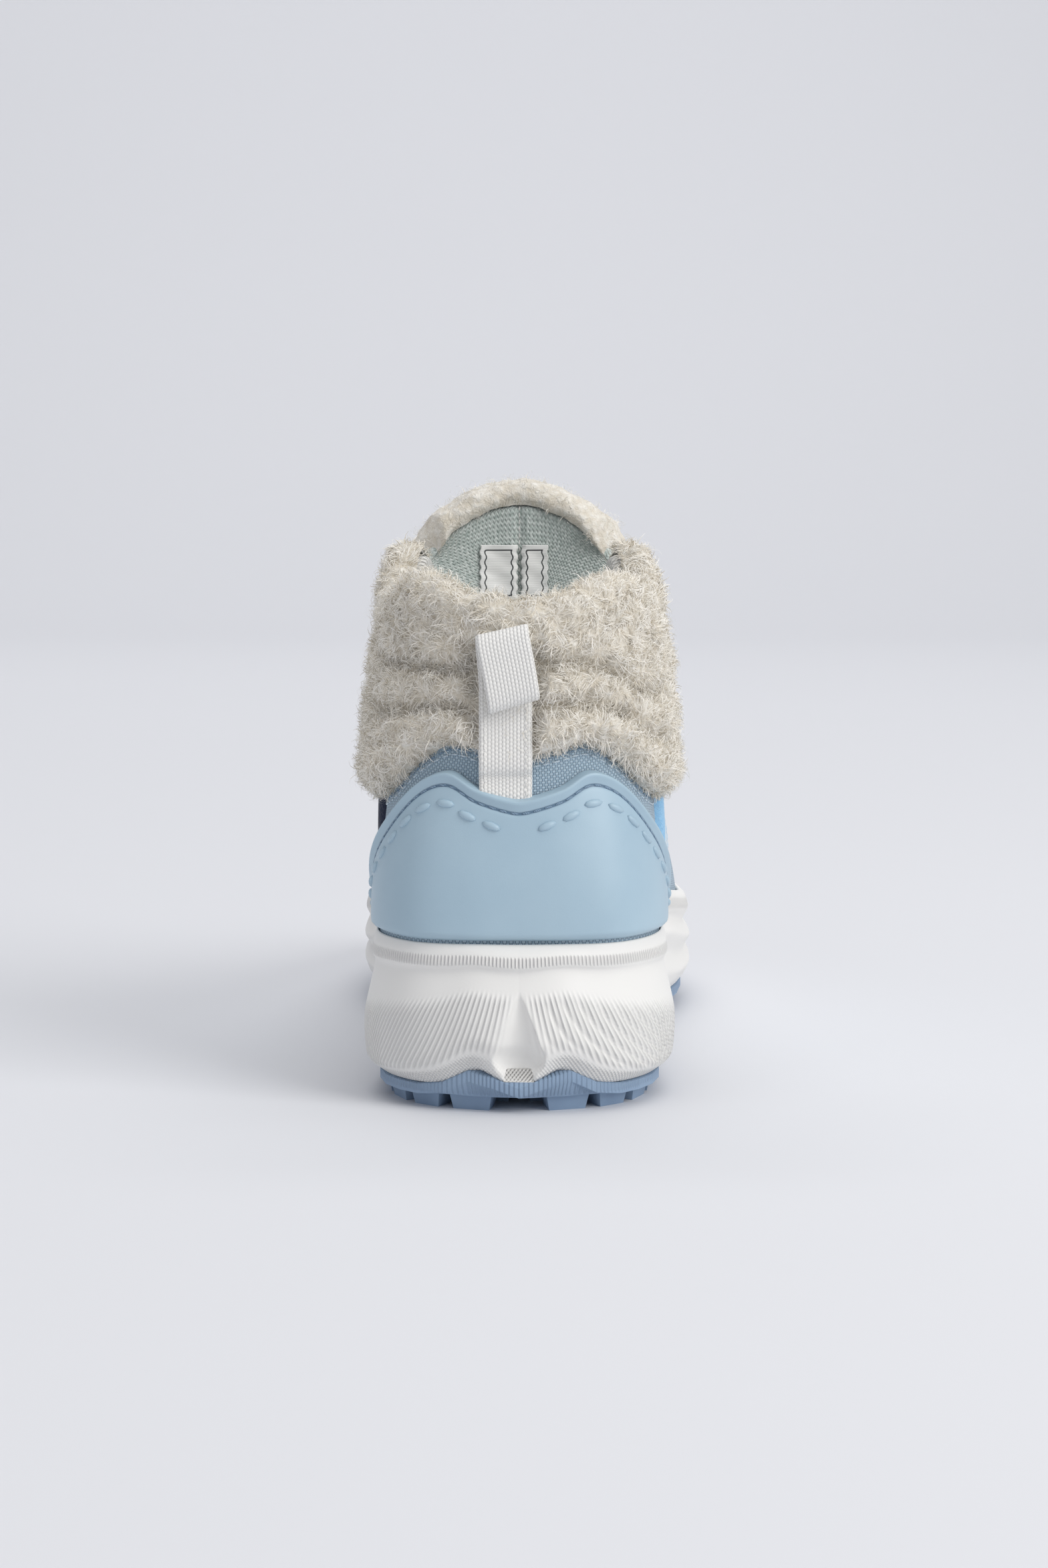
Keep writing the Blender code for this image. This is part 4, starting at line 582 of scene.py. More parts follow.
tone = add_node(tree, "ShaderNodeMix", {0: 1.0, 6: tone, 7: shadow}, data_type="RGBA",
                blend_type="MULTIPLY").outputs[2]
tree.links.new(tone, shader.inputs["Base Color"])
relief = add_node(tree, "ShaderNodeMath", {0: weave, 1: fuzz}, operation="ADD").outputs[0]
bump = add_node(tree, "ShaderNodeBump", {"Height": relief, "Strength": 0.85, "Distance": 0.00018})
tree.links.new(bump.outputs[0], shader.inputs["Normal"])
upper_canvas.data.materials.append(canvas_blue)

# Knitted polyester lining, mint grey and heathered with darker yarns; its loops are 1 mm wide, with painted shade
# between them.
knit_mint, tree, shader = new_material("heathered_lining_knit", "D3DBD6", 0.9, Sheen_Weight=0.3)
cloth = add_node(tree, "ShaderNodeUVMap", uv_map="cloth").outputs[0]
across, up = add_node(tree, "ShaderNodeSeparateXYZ", {0: cloth}).outputs[:2]
wale = add_node(tree, "ShaderNodeMath", {0: across, 1: 2 * math.pi / 1.0}, operation="MULTIPLY").outputs[0]
wale = add_node(tree, "ShaderNodeMath", {0: wale}, operation="SINE").outputs[0]
slant = add_node(tree, "ShaderNodeMath", {0: up, 1: 2 * math.pi / 1.1}, operation="MULTIPLY").outputs[0]
slant = add_node(tree, "ShaderNodeMath", {0: wale, 1: 1.6, 2: slant}, operation="MULTIPLY_ADD").outputs[0]
course = add_node(tree, "ShaderNodeMath", {0: slant}, operation="SINE").outputs[0]
loops = add_node(tree, "ShaderNodeMath", {0: wale, 1: 0.6, 2: course}, operation="MULTIPLY_ADD").outputs[0]
heather_place = add_node(tree, "ShaderNodeMapping", {0: cloth, 3: (0.9, 0.35, 1.0)}).outputs[0]
heather = add_node(tree, "ShaderNodeTexNoise", {"Vector": heather_place, "Scale": 1.6, "Detail": 4.0,
                                                "Roughness": 0.7}).outputs[0]
flecks = add_node(tree, "ShaderNodeMapRange", {0: heather, 1: 0.42, 2: 0.62}).outputs[0]
tone = add_node(tree, "ShaderNodeMix", {0: flecks, 6: linear("B4C0BB"), 7: linear("DFE6E2")},
                data_type="RGBA").outputs[2]
# painted shade: the hollows between the loops are darkened
shadow = add_node(tree, "ShaderNodeMapRange", {0: loops, 1: -1.4, 2: 0.4, 3: 0.78, 4: 1.0}).outputs[0]
tone = add_node(tree, "ShaderNodeMix", {0: 1.0, 6: tone, 7: shadow}, data_type="RGBA",
                blend_type="MULTIPLY").outputs[2]
tree.links.new(tone, shader.inputs["Base Color"])
bump = add_node(tree, "ShaderNodeBump", {"Height": loops, "Strength": 0.7, "Distance": 0.00015})
tree.links.new(bump.outputs[0], shader.inputs["Normal"])
upper_lining.data.materials.append(knit_mint)
finish_piece(upper_canvas, ["upper"])
finish_piece(upper_lining)

# The ribbed white knit band that closes the collar's edge on its inner side.
band_ways = np.linspace(-0.42, 0.42, 400)
band_thick = wall_thickness(band_ways, np.ones(len(band_ways)))
band_top, band_below = wall(band_ways, 1.0), wall(band_ways, 0.96)
band_lift = (band_top - band_below) / np.linalg.norm(band_top - band_below, axis=1)[:, None]
band_rows = []
for turned in np.linspace(-0.2, 1.0, 14):
    a = math.pi * (0.25 + 0.75 * min(max(turned, 0.0), 1.0))
    sink = np.where(turned < 0.55, 0.0, (turned - 0.55) * 7.0)
    out = 0.35 - (band_thick + 0.9) * (1 - math.cos(a)) / 2
    row = wall(band_ways, 1.0, out) + band_lift * (band_thick * 0.34 * math.sin(a) + 0.4 - sink)[:, None]
    band_rows.append(row)
knit_band = add_sheet("collar_knit_band", np.array(band_rows))
# Ribbed knit tape, white: ribs 1.2 mm apart run across the band, with painted shade in the grooves between them.
tape_white, tree, shader = new_material("ribbed_knit_tape", "F3F2EE", 0.85, Sheen_Weight=0.3)
cloth = add_node(tree, "ShaderNodeUVMap", uv_map="cloth").outputs[0]
across, up = add_node(tree, "ShaderNodeSeparateXYZ", {0: cloth}).outputs[:2]
rib = add_node(tree, "ShaderNodeMath", {0: across, 1: 2 * math.pi / 1.2}, operation="MULTIPLY").outputs[0]
rib = add_node(tree, "ShaderNodeMath", {0: rib}, operation="SINE").outputs[0]
# painted shade: the grooves between the ribs are tinted grey
tone = add_node(tree, "ShaderNodeMapRange", {0: rib, 1: -1.0, 2: 0.3}).outputs[0]
tone = add_node(tree, "ShaderNodeMix", {0: tone, 6: linear("CFCEC9"), 7: linear("F5F4F0")}, data_type="RGBA")
tree.links.new(tone.outputs[2], shader.inputs["Base Color"])
bump = add_node(tree, "ShaderNodeBump", {"Height": rib, "Strength": 0.9, "Distance": 0.0003})
tree.links.new(bump.outputs[0], shader.inputs["Normal"])
knit_band.data.materials.append(tape_white)
finish_piece(knit_band)

# Insole: a cut sheet of foam with knit on top, lying loose in the shoe.
insole_ways = crowded(241)[:-1]
insole_rows = []
for inset, up_share in ((0.0, 0.05), (-0.5, 0.3), (-0.2, 0.7), (0.6, 0.93), (1.6, 1.0)):
    x, y, _ = np.moveaxis(wall(insole_ways, 0.03, -(CANVAS_WALL + 2.2 + max(inset, 0.0))), -1, 0)
    bed = HEEL_FOOTBED * read_curve(SOLE_HEIGHTS, y / SOLE_LENGTH, 1)
    insole_rows.append(np.stack([x, y, bed + GAP + 3.6 * up_share], axis=1))
edge_ring = insole_rows[-1]
for share in np.linspace(0.15, 1.0, 10):
    mirrored = np.roll(edge_ring[::-1], 1, axis=0)
    middle = (edge_ring + mirrored) / 2
    insole_rows.append(edge_ring * (1 - share) + middle * share)
insole = add_sheet("insole_sheet", np.array(insole_rows), joined=True)
insole.data.materials.append(knit_mint)
finish_piece(insole, ["insole"])

# Heel counter: a cup of injection-moulded TPU around the heel, 2 mm thick, two-peaked, with a rolled
# bead along its top, a sewn line inside the bead and a raised row of pills; its middle is bare.
COUNTER_THICKNESS, COUNTER_END = 2.0, 0.275
COUNTER_EDGE = ((0.0, 1.0), (0.045, 1.10), (0.076, 1.21), (0.105, 1.125), (0.15, 0.80), (0.20, 0.45),
                (0.25, 0.18), (0.30, 0.05))


def above_rim(u):
    return v_at(u, rim(wall(u, 0.0)[..., 1]) + RIM_CLEARANCE)


def counter_top(u):
    rounded = np.sqrt(np.asarray(u) ** 2 + 0.009**2)
    lift = (COUNTER_HEIGHT - RIM_HEIGHT - RIM_CLEARANCE) * read_curve(COUNTER_EDGE, rounded)
    return v_at(u, rim(wall(u, 0.0)[..., 1]) + RIM_CLEARANCE + lift)


counter_ways = np.linspace(-COUNTER_END, COUNTER_END, 301)
foot_v = v_at(counter_ways, rim(wall(counter_ways, 0.0)[:, 1]) + 0.1)
top_v = counter_top(counter_ways)
tall = np.linalg.norm(wall(counter_ways, top_v) - wall(counter_ways, foot_v), axis=-1)
shares = np.concatenate([np.linspace(0.0, 0.75, 30), np.linspace(0.76, 1.0, 42)])[:, None]
below_top = (1 - shares) * tall
end_fade = np.clip((COUNTER_END - abs(counter_ways)) * SIDE_LENGTH / 1.6, 0.0, 1.0) ** 0.5
bead = 1.05 * np.exp(-(((below_top - 1.7) / 1.25) ** 2))
seam_dip = 0.35 * np.exp(-(((below_top - 4.3) / 0.7) ** 2))
round_top = np.sqrt(np.clip(below_top / 1.3, 0.0, 1.0))
round_foot = np.sqrt(np.clip(shares * tall / 1.2, 0.0, 1.0))
out = GAP + (COUNTER_THICKNESS + bead - seam_dip) * round_top * round_foot * end_fade
counter = add_sheet("heel_counter_cup", wall(counter_ways, foot_v + (top_v - foot_v) * shares, out),
                    marks={"below_top": below_top})
# Injection-moulded TPU, satin and pale blue: the mould's faint grain, a soft clear sheen on the bead, and painted
# shade along the groove of the sewn line.
tpu_blue, tree, shader = new_material("moulded_tpu", "A9C2D2", 0.40, Specular_IOR_Level=0.5, Coat_Weight=0.12,
                                      Coat_Roughness=0.35)
place = add_node(tree, "ShaderNodeTexCoord").outputs["Object"]
grain = add_node(tree, "ShaderNodeTexNoise", {"Vector": place, "Scale": 2600.0, "Detail": 2.0}).outputs[0]
flow = add_node(tree, "ShaderNodeTexNoise", {"Vector": place, "Scale": 45.0, "Detail": 3.0}).outputs[0]
below = add_node(tree, "ShaderNodeAttribute", attribute_name="below_top").outputs["Fac"]
# painted shade: a dark blue line along the seam's groove under the stitches
sewn = add_node(tree, "ShaderNodeMath", {0: below, 1: 4.3}, operation="SUBTRACT").outputs[0]
sewn = add_node(tree, "ShaderNodeMath", {0: sewn}, operation="ABSOLUTE").outputs[0]
sewn = add_node(tree, "ShaderNodeMapRange", {0: sewn, 1: 0.25, 2: 0.6, 3: 1.0, 4: 0.0}).outputs[0]
tone = add_node(tree, "ShaderNodeMix", {0: flow, 6: linear("A2BCCD"), 7: linear("B3CBD9")},
                data_type="RGBA").outputs[2]
tone = add_node(tree, "ShaderNodeMix", {0: sewn, 6: tone, 7: linear("5F7A92")}, data_type="RGBA").outputs[2]
tree.links.new(tone, shader.inputs["Base Color"])
gloss = add_node(tree, "ShaderNodeMapRange", {0: flow, 3: 0.36, 4: 0.5}).outputs[0]
tree.links.new(gloss, shader.inputs["Roughness"])
bump = add_node(tree, "ShaderNodeBump", {"Height": grain, "Strength": 0.2, "Distance": 0.0001})
tree.links.new(bump.outputs[0], shader.inputs["Normal"])
counter.data.materials.append(tpu_blue)
finish_piece(counter, ["heel_counter"])

# A row of like things along a line: stitches and pills are laid by one tree of Geometry Nodes.
row_tree = bpy.data.node_groups.new("laid_along_a_line", "GeometryNodeTree")
row_tree.interface.new_socket("Line", in_out="INPUT", socket_type="NodeSocketGeometry")
for size_name, size_value in (("Pitch", 0.003), ("Length", 0.002), ("Width", 0.0006), ("Height", 0.0004)):
    size = row_tree.interface.new_socket(size_name, in_out="INPUT", socket_type="NodeSocketFloat")
    size.default_value = size_value
row_tree.interface.new_socket("Finish", in_out="INPUT", socket_type="NodeSocketMaterial")
row_tree.interface.new_socket("Row", in_out="OUTPUT", socket_type="NodeSocketGeometry")
given = row_tree.nodes.new("NodeGroupInput").outputs
line = add_node(row_tree, "GeometryNodeMeshToCurve", {0: given["Line"]}).outputs[0]
spaced = add_node(row_tree, "GeometryNodeResampleCurve", {"Curve": line, "Length": given["Pitch"]},
                  mode="LENGTH").outputs[0]
pill = add_node(row_tree, "GeometryNodeMeshUVSphere", {"Segments": 8, "Rings": 6, "Radius": 0.5}).outputs[0]
tangent = add_node(row_tree, "GeometryNodeInputTangent").outputs[0]
away = add_node(row_tree, "GeometryNodeInputNamedAttribute", {"Name": "away"}, data_type="FLOAT_VECTOR").outputs[0]
turned = add_node(row_tree, "FunctionNodeAxesToRotation", {0: tangent, 1: away}, primary_axis="X",
                  secondary_axis="Z").outputs[0]
sizes = add_node(row_tree, "ShaderNodeCombineXYZ", {0: given["Length"], 1: given["Width"], 2: given["Height"]})
laid = add_node(row_tree, "GeometryNodeInstanceOnPoints",
                {"Points": spaced, "Instance": pill, "Rotation": turned, "Scale": sizes.outputs[0]}).outputs[0]
whole = add_node(row_tree, "GeometryNodeRealizeInstances", {0: laid}).outputs[0]
soft_shade = add_node(row_tree, "GeometryNodeSetShadeSmooth", {"Geometry": whole}).outputs[0]
dyed = add_node(row_tree, "GeometryNodeSetMaterial", {"Geometry": soft_shade, "Material": given["Finish"]})
row_tree.links.new(dyed.outputs[0], row_tree.nodes.new("NodeGroupOutput").inputs[0])


def plain_mesh(source, tree, name, **inputs):
    """Runs a tree of Geometry Nodes on an object and keeps the result as a plain mesh."""
    modifier = source.modifiers.new(tree.name, "NODES")
    modifier.node_group = tree
    for socket in tree.interface.items_tree:
        if socket.in_out == "INPUT" and socket.name in inputs:
            modifier[socket.identifier] = inputs[socket.name]
    graph = bpy.context.evaluated_depsgraph_get()
    graph.update()
    made = bpy.data.objects.new(name, bpy.data.meshes.new_from_object(source.evaluated_get(graph)))
    bpy.context.scene.collection.objects.link(made)
    source.modifiers.remove(modifier)
    return made


def lay_row(name, lines, pitch, size, finish):
    """Lays pills of a length, width and height along lines of points, each with its way off the surface."""
    points, edges, away = [], [], []
    for line, off in lines:
        start = len(points)
        points += list(line)
        away += list(off)
        edges += [(start + k, start + k + 1) for k in range(len(line) - 1)]
    mesh = bpy.data.meshes.new(name + "_line")
    mesh.from_pydata(to_row(points).tolist(), edges, [])
    mesh.attributes.new("away", "FLOAT_VECTOR", "POINT").data.foreach_set("vector", np.ravel(away))
    guide = bpy.data.objects.new(name + "_line", mesh)
    bpy.context.scene.collection.objects.link(guide)
    length, width, height = (0.001 * s for s in size)
    made = plain_mesh(guide, row_tree, name, Pitch=pitch * 0.001, Length=length, Width=width, Height=height,
                      Finish=finish)
    bpy.data.objects.remove(guide)
    return finish_piece(made)


def line_on_wall(u, v, out):
    """A line that lies on the upper, with its way off the surface at each point."""
    line = wall(u, v, out)
    off = line - wall(u, v, np.asarray(out) - 1.0)
    return line, off


# Moulded pills, 5.5 by 2.2 mm, in a row nine millimetres under the top edge of each side.
pill_lines = []
for side_sign in (-1, 1):
    ways = side_sign * np.linspace(0.028, COUNTER_END - 0.012, 90)
    high, low = counter_top(ways), above_rim(ways)
    rows_tall = np.linalg.norm(wall(ways, high) - wall(ways, low), axis=-1)
    drop = np.minimum(9.0, rows_tall - 3.0)
    pill_lines.append(line_on_wall(ways, high - (high - low) * drop / rows_tall, GAP + COUNTER_THICKNESS - 0.05))
lay_row("counter_pills", pill_lines, 6.6, (5.4, 2.2, 1.9), tpu_blue)

# Bonded polyester thread: steel blue on the counter and canvas, twisted from three plies.
thread_blue, tree, shader = new_material("bonded_thread_steel_blue", "6F8AA3", 0.6, Sheen_Weight=0.3)
place = add_node(tree, "ShaderNodeTexCoord").outputs["Object"]
plies = add_node(tree, "ShaderNodeTexWave", {"Vector": place, "Scale": 900.0, "Distortion": 1.0},
                 bands_direction="DIAGONAL").outputs["Fac"]
tone = add_node(tree, "ShaderNodeMix", {0: plies, 6: linear("5F7A94"), 7: linear("8FA7BC")}, data_type="RGBA")
tree.links.new(tone.outputs[2], shader.inputs["Base Color"])
thread_pale = thread_blue.copy()
thread_pale.name = "bonded_thread_pale_blue"
pale_mix = [n for n in thread_pale.node_tree.nodes if n.bl_idname == "ShaderNodeMix"][0]
pale_mix.inputs[6].default_value, pale_mix.inputs[7].default_value = linear("A9BECE"), linear("D3DFE8")
ways = np.linspace(-COUNTER_END + 0.01, COUNTER_END - 0.01, 260)
high, low = counter_top(ways), above_rim(ways)
rows_tall = np.linalg.norm(wall(ways, high) - wall(ways, low), axis=-1)
seam = line_on_wall(ways, high - (high - low) * 4.3 / rows_tall, GAP + COUNTER_THICKNESS - 0.25)
lay_row("counter_stitches", [seam], 3.0, (2.3, 0.6, 0.5), thread_blue)
# Two rows of stitches in the canvas, a dark one at the pile and a pale one under it.
ways = np.linspace(-0.285, 0.285, 320)
mm_up = np.linalg.norm(wall(ways, 0.9) - wall(ways, 0.5), axis=-1) / 0.4
line_v = fleece_line(ways)
lay_row("canvas_stitches_dark", [line_on_wall(ways, line_v - 1.4 / mm_up, 0.1)], 2.8, (2.1, 0.55, 0.5),
        thread_blue)
lay_row("canvas_stitches_pale", [line_on_wall(ways, line_v - 2.9 / mm_up, 0.1)], 2.8, (2.1, 0.55, 0.5),
        thread_pale)

# Fleece collar: a cuff of curled polyester sherpa pile in three rolls around the ankle, sewn on along
# its foot and over the rim, and pressed flat where the pull loop's strap lies on it.
FLEECE_THICKNESS, FLEECE_FRONT, PRESSED_PILE, SOFT_GAP = 7.0, 0.435, 1.8, 0.5
STRAP_OFFSET, WEBBING_WIDTH, WEBBING_THICKNESS, LOOP_FOOT, LOOP_HEIGHT = -3.5, 14.0, 1.4, 106.5, 18.0
FLEECE_GROOVES = (
    # way, lower and upper groove as shares of the collar's height
    (-0.44, 0.865, 0.975), (-0.22, 0.790, 0.900), (-0.10, 0.808, 0.893), (0.00, 0.812, 0.898),
    (0.09, 0.812, 0.896), (0.17, 0.735, 0.830), (0.30, 0.730, 0.850), (0.44, 0.880, 0.985),
)


def lumps(points, size, seed):
    """Soft noise from -1 to 1 at points in millimetres, with lumps of a size."""
    offset = Vector((seed * 7.3, seed * 3.1, seed * 5.7))
    flat = np.asarray(points).reshape(-1, 3) / size
    return np.array([noise.noise(Vector(p) + offset) for p in flat]).reshape(np.shape(points)[:-1])


fleece_ways = np.linspace(-FLEECE_FRONT, FLEECE_FRONT, 380)
fleece_foot = fleece_line(fleece_ways)
fleece_shares = np.linspace(0.0, 1.0, 92)[:, None]
fleece_v = fleece_foot + (1.0 - fleece_foot) * fleece_shares
ground_face = wall(fleece_ways, fleece_v)
heights = ground_face[..., 2]
thick = np.full(fleece_v.shape, FLEECE_THICKNESS)
for column in (1, 2):
    crease = COLLAR_HEIGHT * read_curve(FLEECE_GROOVES, fleece_ways, column)
    apart = heights - crease + 1.2 * lumps(ground_face, 14.0, column)
    thick -= FLEECE_THICKNESS * (0.60 * np.exp(-((apart / 2.4) ** 2)) + 0.10 * np.exp(-((apart / 6.0) ** 2)))
thick += 1.0 * lumps(ground_face, 9.0, 3) + 0.75 * lumps(ground_face, 4.0, 4) + 0.3 * lumps(ground_face, 1.8, 5)
up_mm = (heights - heights[0]).clip(0.0)
foot_round = np.sqrt(np.clip((up_mm + 0.4) / 4.0, 0.0, 1.0))
end_round = np.sqrt(np.clip((FLEECE_FRONT - abs(fleece_ways)) * SIDE_LENGTH / 5.0, 0.02, 1.0))
beside_strap = abs(ground_face[..., 0] - STRAP_OFFSET) - WEBBING_WIDTH / 2
pressed = (1 - smooth_step(beside_strap, 0.2, 3.0)) * (1 - smooth_step(heights, 117.0, 123.0))
pressed *= (abs(fleece_ways) < 0.15)
thick = np.maximum(thick * foot_round * end_round, 1.2)
thick = thick * (1 - pressed) + PRESSED_PILE * 0.8 * pressed
fleece_rows = [wall(fleece_ways, fleece_foot, 0.05), *wall(fleece_ways, fleece_v, SOFT_GAP + thick)]
# Over the rim the pile rolls inwards down to the knit band.
top, below = wall(fleece_ways, 1.0), wall(fleece_ways, 0.97)
lift = (top - below) / np.linalg.norm(top - below, axis=1)[:, None]
rim_thick = thick[-1]
for a in np.linspace(0.15, 2.3, 14):
    reach = rim_thick * math.cos(a) if a < math.pi / 2 else 3.2 * math.cos(a)
    swell = 1.0 + 0.22 * lumps(top * (1.0, 1.0, 1.0) + a, 5.0, 6)
    row = wall(fleece_ways, 1.0, SOFT_GAP + reach) + lift * (4.6 * math.sin(a) * swell * end_round)[:, None]
    fleece_rows.append(row)
fleece = add_sheet("fleece_collar_pile", np.array(fleece_rows))

# Curled sherpa pile, cream: matt and soft, brown-grey with painted shade between the curls, nearly white with painted
# light where they catch light.
pile_cream, tree, shader = new_material("curled_sherpa_pile", "EDE8DD", 0.95, Sheen_Weight=0.35,
                                        Specular_IOR_Level=0.1)
place = add_node(tree, "ShaderNodeTexCoord").outputs["Object"]
curls = add_node(tree, "ShaderNodeTexVoronoi", {"Vector": place, "Scale": 420.0}, feature="SMOOTH_F1").outputs[0]
wisps = add_node(tree, "ShaderNodeTexNoise", {"Vector": place, "Scale": 700.0, "Detail": 5.0,
                                              "Distortion": 1.5}).outputs[0]
depth = add_node(tree, "ShaderNodeMath", {0: curls, 1: wisps}, operation="ADD").outputs[0]
# painted shade and light: deep places between the curls are darker, the curls' tops nearly white
deep = add_node(tree, "ShaderNodeMapRange", {0: depth, 1: 0.45, 2: 1.15}).outputs[0]
tone = add_node(tree, "ShaderNodeMix", {0: deep, 6: linear("F6F3EC"), 7: linear("DDD5C6")}, data_type="RGBA")
tree.links.new(tone.outputs[2], shader.inputs["Base Color"])
bump = add_node(tree, "ShaderNodeBump", {"Height": depth, "Strength": 0.8, "Distance": -0.0008})
tree.links.new(bump.outputs[0], shader.inputs["Normal"])
fleece.data.materials.append(pile_cream)
finish_piece(fleece, ["fleece_collar"])

# The pile's single fibres: thin curled ribbons that lean together in tufts, darkened towards their roots with painted
# shade and pale at their tips.
fibre_cream, tree, shader = new_material("sherpa_fibre", "F0ECE3", 0.9, Sheen_Weight=0.25,
                                         Specular_IOR_Level=0.15)
reach = add_node(tree, "ShaderNodeAttribute", attribute_name="reach").outputs["Fac"]
place = add_node(tree, "ShaderNodeTexCoord").outputs["Object"]
tuft = add_node(tree, "ShaderNodeTexNoise", {"Vector": place, "Scale": 260.0, "Detail": 2.0}).outputs[0]
tuft = add_node(tree, "ShaderNodeMapRange", {0: tuft, 1: 0.35, 2: 0.65}).outputs[0]
# painted shade: each fibre is darker at its root, deep in the pile, and paler towards its tip
root = add_node(tree, "ShaderNodeMix", {0: tuft, 6: linear("E2DACA"), 7: linear("F2EDE3")},
                data_type="RGBA").outputs[2]
tip = add_node(tree, "ShaderNodeMix", {0: tuft, 6: linear("F8F5EE"), 7: linear("FFFEFB")},
               data_type="RGBA").outputs[2]
tone = add_node(tree, "ShaderNodeMix", {0: reach, 6: root, 7: tip}, data_type="RGBA")
tree.links.new(tone.outputs[2], shader.inputs["Base Color"])


# A fibre's root is drawn far wider than real, so that few fibres cover the ground; density is per m2.
FIBRE_WIDTH, FIBRE_STEPS, PILE_DENSITY = 0.25, 4, 0.85e6


def curled_fibre(name, length, bend, twist):
    """A ribbon that rises from its root and curls over; its mark runs from 0 at the root to 1 at the tip."""
    points, faces, marks = [], [], []
    x = y = z = 0.0
    for k in range(FIBRE_STEPS + 1):
        share = k / FIBRE_STEPS
        half = FIBRE_WIDTH / 2 * (1.0 - 0.75 * share)
        side_turn = twist * share
        points += [(x - half * math.sin(side_turn), y - half * math.cos(side_turn), z),
                   (x + half * math.sin(side_turn), y + half * math.cos(side_turn), z)]
        marks += [share, share]
        if k:
            a = 2 * k
            faces.append((a - 2, a - 1, a + 1, a))
        angle = bend * share
        x += math.sin(angle) * math.cos(side_turn) * length / FIBRE_STEPS
        y += math.sin(angle) * math.sin(side_turn) * length / FIBRE_STEPS
        z += math.cos(angle) * length / FIBRE_STEPS
    points = np.array(points) + SHOE_CENTRE
    return add_mesh(name, points, faces, marks={"reach": marks})


pile_tree = bpy.data.node_groups.new("curled_pile", "GeometryNodeTree")
pile_tree.interface.new_socket("Ground", in_out="INPUT", socket_type="NodeSocketGeometry")
pile_tree.interface.new_socket("Fibre", in_out="INPUT", socket_type="NodeSocketObject")
pile_tree.interface.new_socket("Density", in_out="INPUT", socket_type="NodeSocketFloat")
pile_tree.interface.new_socket("Seed", in_out="INPUT", socket_type="NodeSocketInt")
pile_tree.interface.new_socket("Finish", in_out="INPUT", socket_type="NodeSocketMaterial")
pile_tree.interface.new_socket("Pile", in_out="OUTPUT", socket_type="NodeSocketGeometry")
given = pile_tree.nodes.new("NodeGroupInput").outputs
spread = add_node(pile_tree, "GeometryNodeDistributePointsOnFaces",
                  {"Mesh": given["Ground"], "Density": given["Density"], "Seed": given["Seed"]})
where = add_node(pile_tree, "GeometryNodeInputPosition").outputs[0]
tufting = add_node(pile_tree, "ShaderNodeTexNoise", {"Vector": where, "Scale": 230.0, "Detail": 1.0}).outputs[1]
leaning = add_node(pile_tree, "ShaderNodeVectorMath", {0: tufting, 1: (0.5, 0.5, 0.5)}, operation="SUBTRACT")
leaning = add_node(pile_tree, "ShaderNodeVectorMath", {0: leaning.outputs[0], "Scale": 5.0}, operation="SCALE")
stray = add_node(pile_tree, "FunctionNodeRandomValue", {0: (-0.55, -0.55, -0.55), 1: (0.55, 0.55, 0.55),
                                                        "Seed": given["Seed"]}, data_type="FLOAT_VECTOR")
stray = stray.outputs[0]
leaning = add_node(pile_tree, "ShaderNodeVectorMath", {0: leaning.outputs[0], 1: stray}, operation="ADD")
growing = add_node(pile_tree, "ShaderNodeVectorMath", {0: spread.outputs["Normal"], 1: leaning.outputs[0]},
                   operation="ADD").outputs[0]
turned = add_node(pile_tree, "FunctionNodeAxesToRotation", {0: growing, 1: leaning.outputs[0]},
                  primary_axis="Z", secondary_axis="X").outputs[0]
size = add_node(pile_tree, "FunctionNodeRandomValue", {2: 0.55, 3: 1.15}, data_type="FLOAT").outputs[1]
fibre = add_node(pile_tree, "GeometryNodeObjectInfo", {"Object": given["Fibre"]}).outputs["Geometry"]
grown = add_node(pile_tree, "GeometryNodeInstanceOnPoints",
                 {"Points": spread.outputs["Points"], "Instance": fibre, "Rotation": turned,
                  "Scale": size}).outputs[0]
whole = add_node(pile_tree, "GeometryNodeRealizeInstances", {0: grown}).outputs[0]
soft_shade = add_node(pile_tree, "GeometryNodeSetShadeSmooth", {"Geometry": whole}).outputs[0]
dyed = add_node(pile_tree, "GeometryNodeSetMaterial", {"Geometry": soft_shade, "Material": given["Finish"]})
pile_tree.links.new(dyed.outputs[0], pile_tree.nodes.new("NodeGroupOutput").inputs[0])


def grow_pile(ground, name, kinds, density):
    """Grows one piece of pile for each kind of fibre: its length, its bend and its twist."""
    for k, (length, bend, twist) in enumerate(kinds):
        fibre = curled_fibre(f"{name}_fibre_{k}", length, bend, twist)
        fibre.hide_render = True
        pile = plain_mesh(ground, pile_tree, f"{name}_{k + 1}", Fibre=fibre, Density=density, Seed=11 + k,
                          Finish=fibre_cream)
        bpy.data.objects.remove(fibre)
        finish_piece(pile)


PILE_KINDS = ((4.6, 2.9, 1.0), (3.8, 3.6, -1.4), (5.4, 2.2, 0.5))
grow_pile(fleece, "collar_pile", PILE_KINDS, PILE_DENSITY)

# Pull loop: white woven polyester webbing 14 mm wide, sewn up the heel over the pile, its free end
# folded outwards and down into a loop whose flap hangs askew.
LOOP_SHAPE = (
    # away, up, across as shares of the loop's height, tilt in degrees
    (0.02, 0.18, 0.00, 2.0), (0.05, 0.50, -0.02, 5.0), (0.03, 0.82, -0.05, 9.0), (-0.06, 0.98, -0.06, 12.0),
    (-0.19, 1.00, -0.05, 13.0), (-0.29, 0.85, -0.03, 13.0), (-0.34, 0.50, 0.04, 15.0),
    (-0.37, 0.16, 0.10, 17.0), (-0.33, 0.02, 0.12, 17.0), (-0.22, -0.04, 0.12, 16.0),
)
side_ways = np.array([-0.016, 0.006])
edge_z = wall(side_ways, counter_top(side_ways))[:, 2]
start_v = float(v_at(np.array([0.0]), edge_z.mean() + 0.6)[0])
line_v, end_v = float(fleece_line(np.array([0.0]))[0]), float(v_at(np.array([0.0]), LOOP_FOOT)[0])
strap_points = []
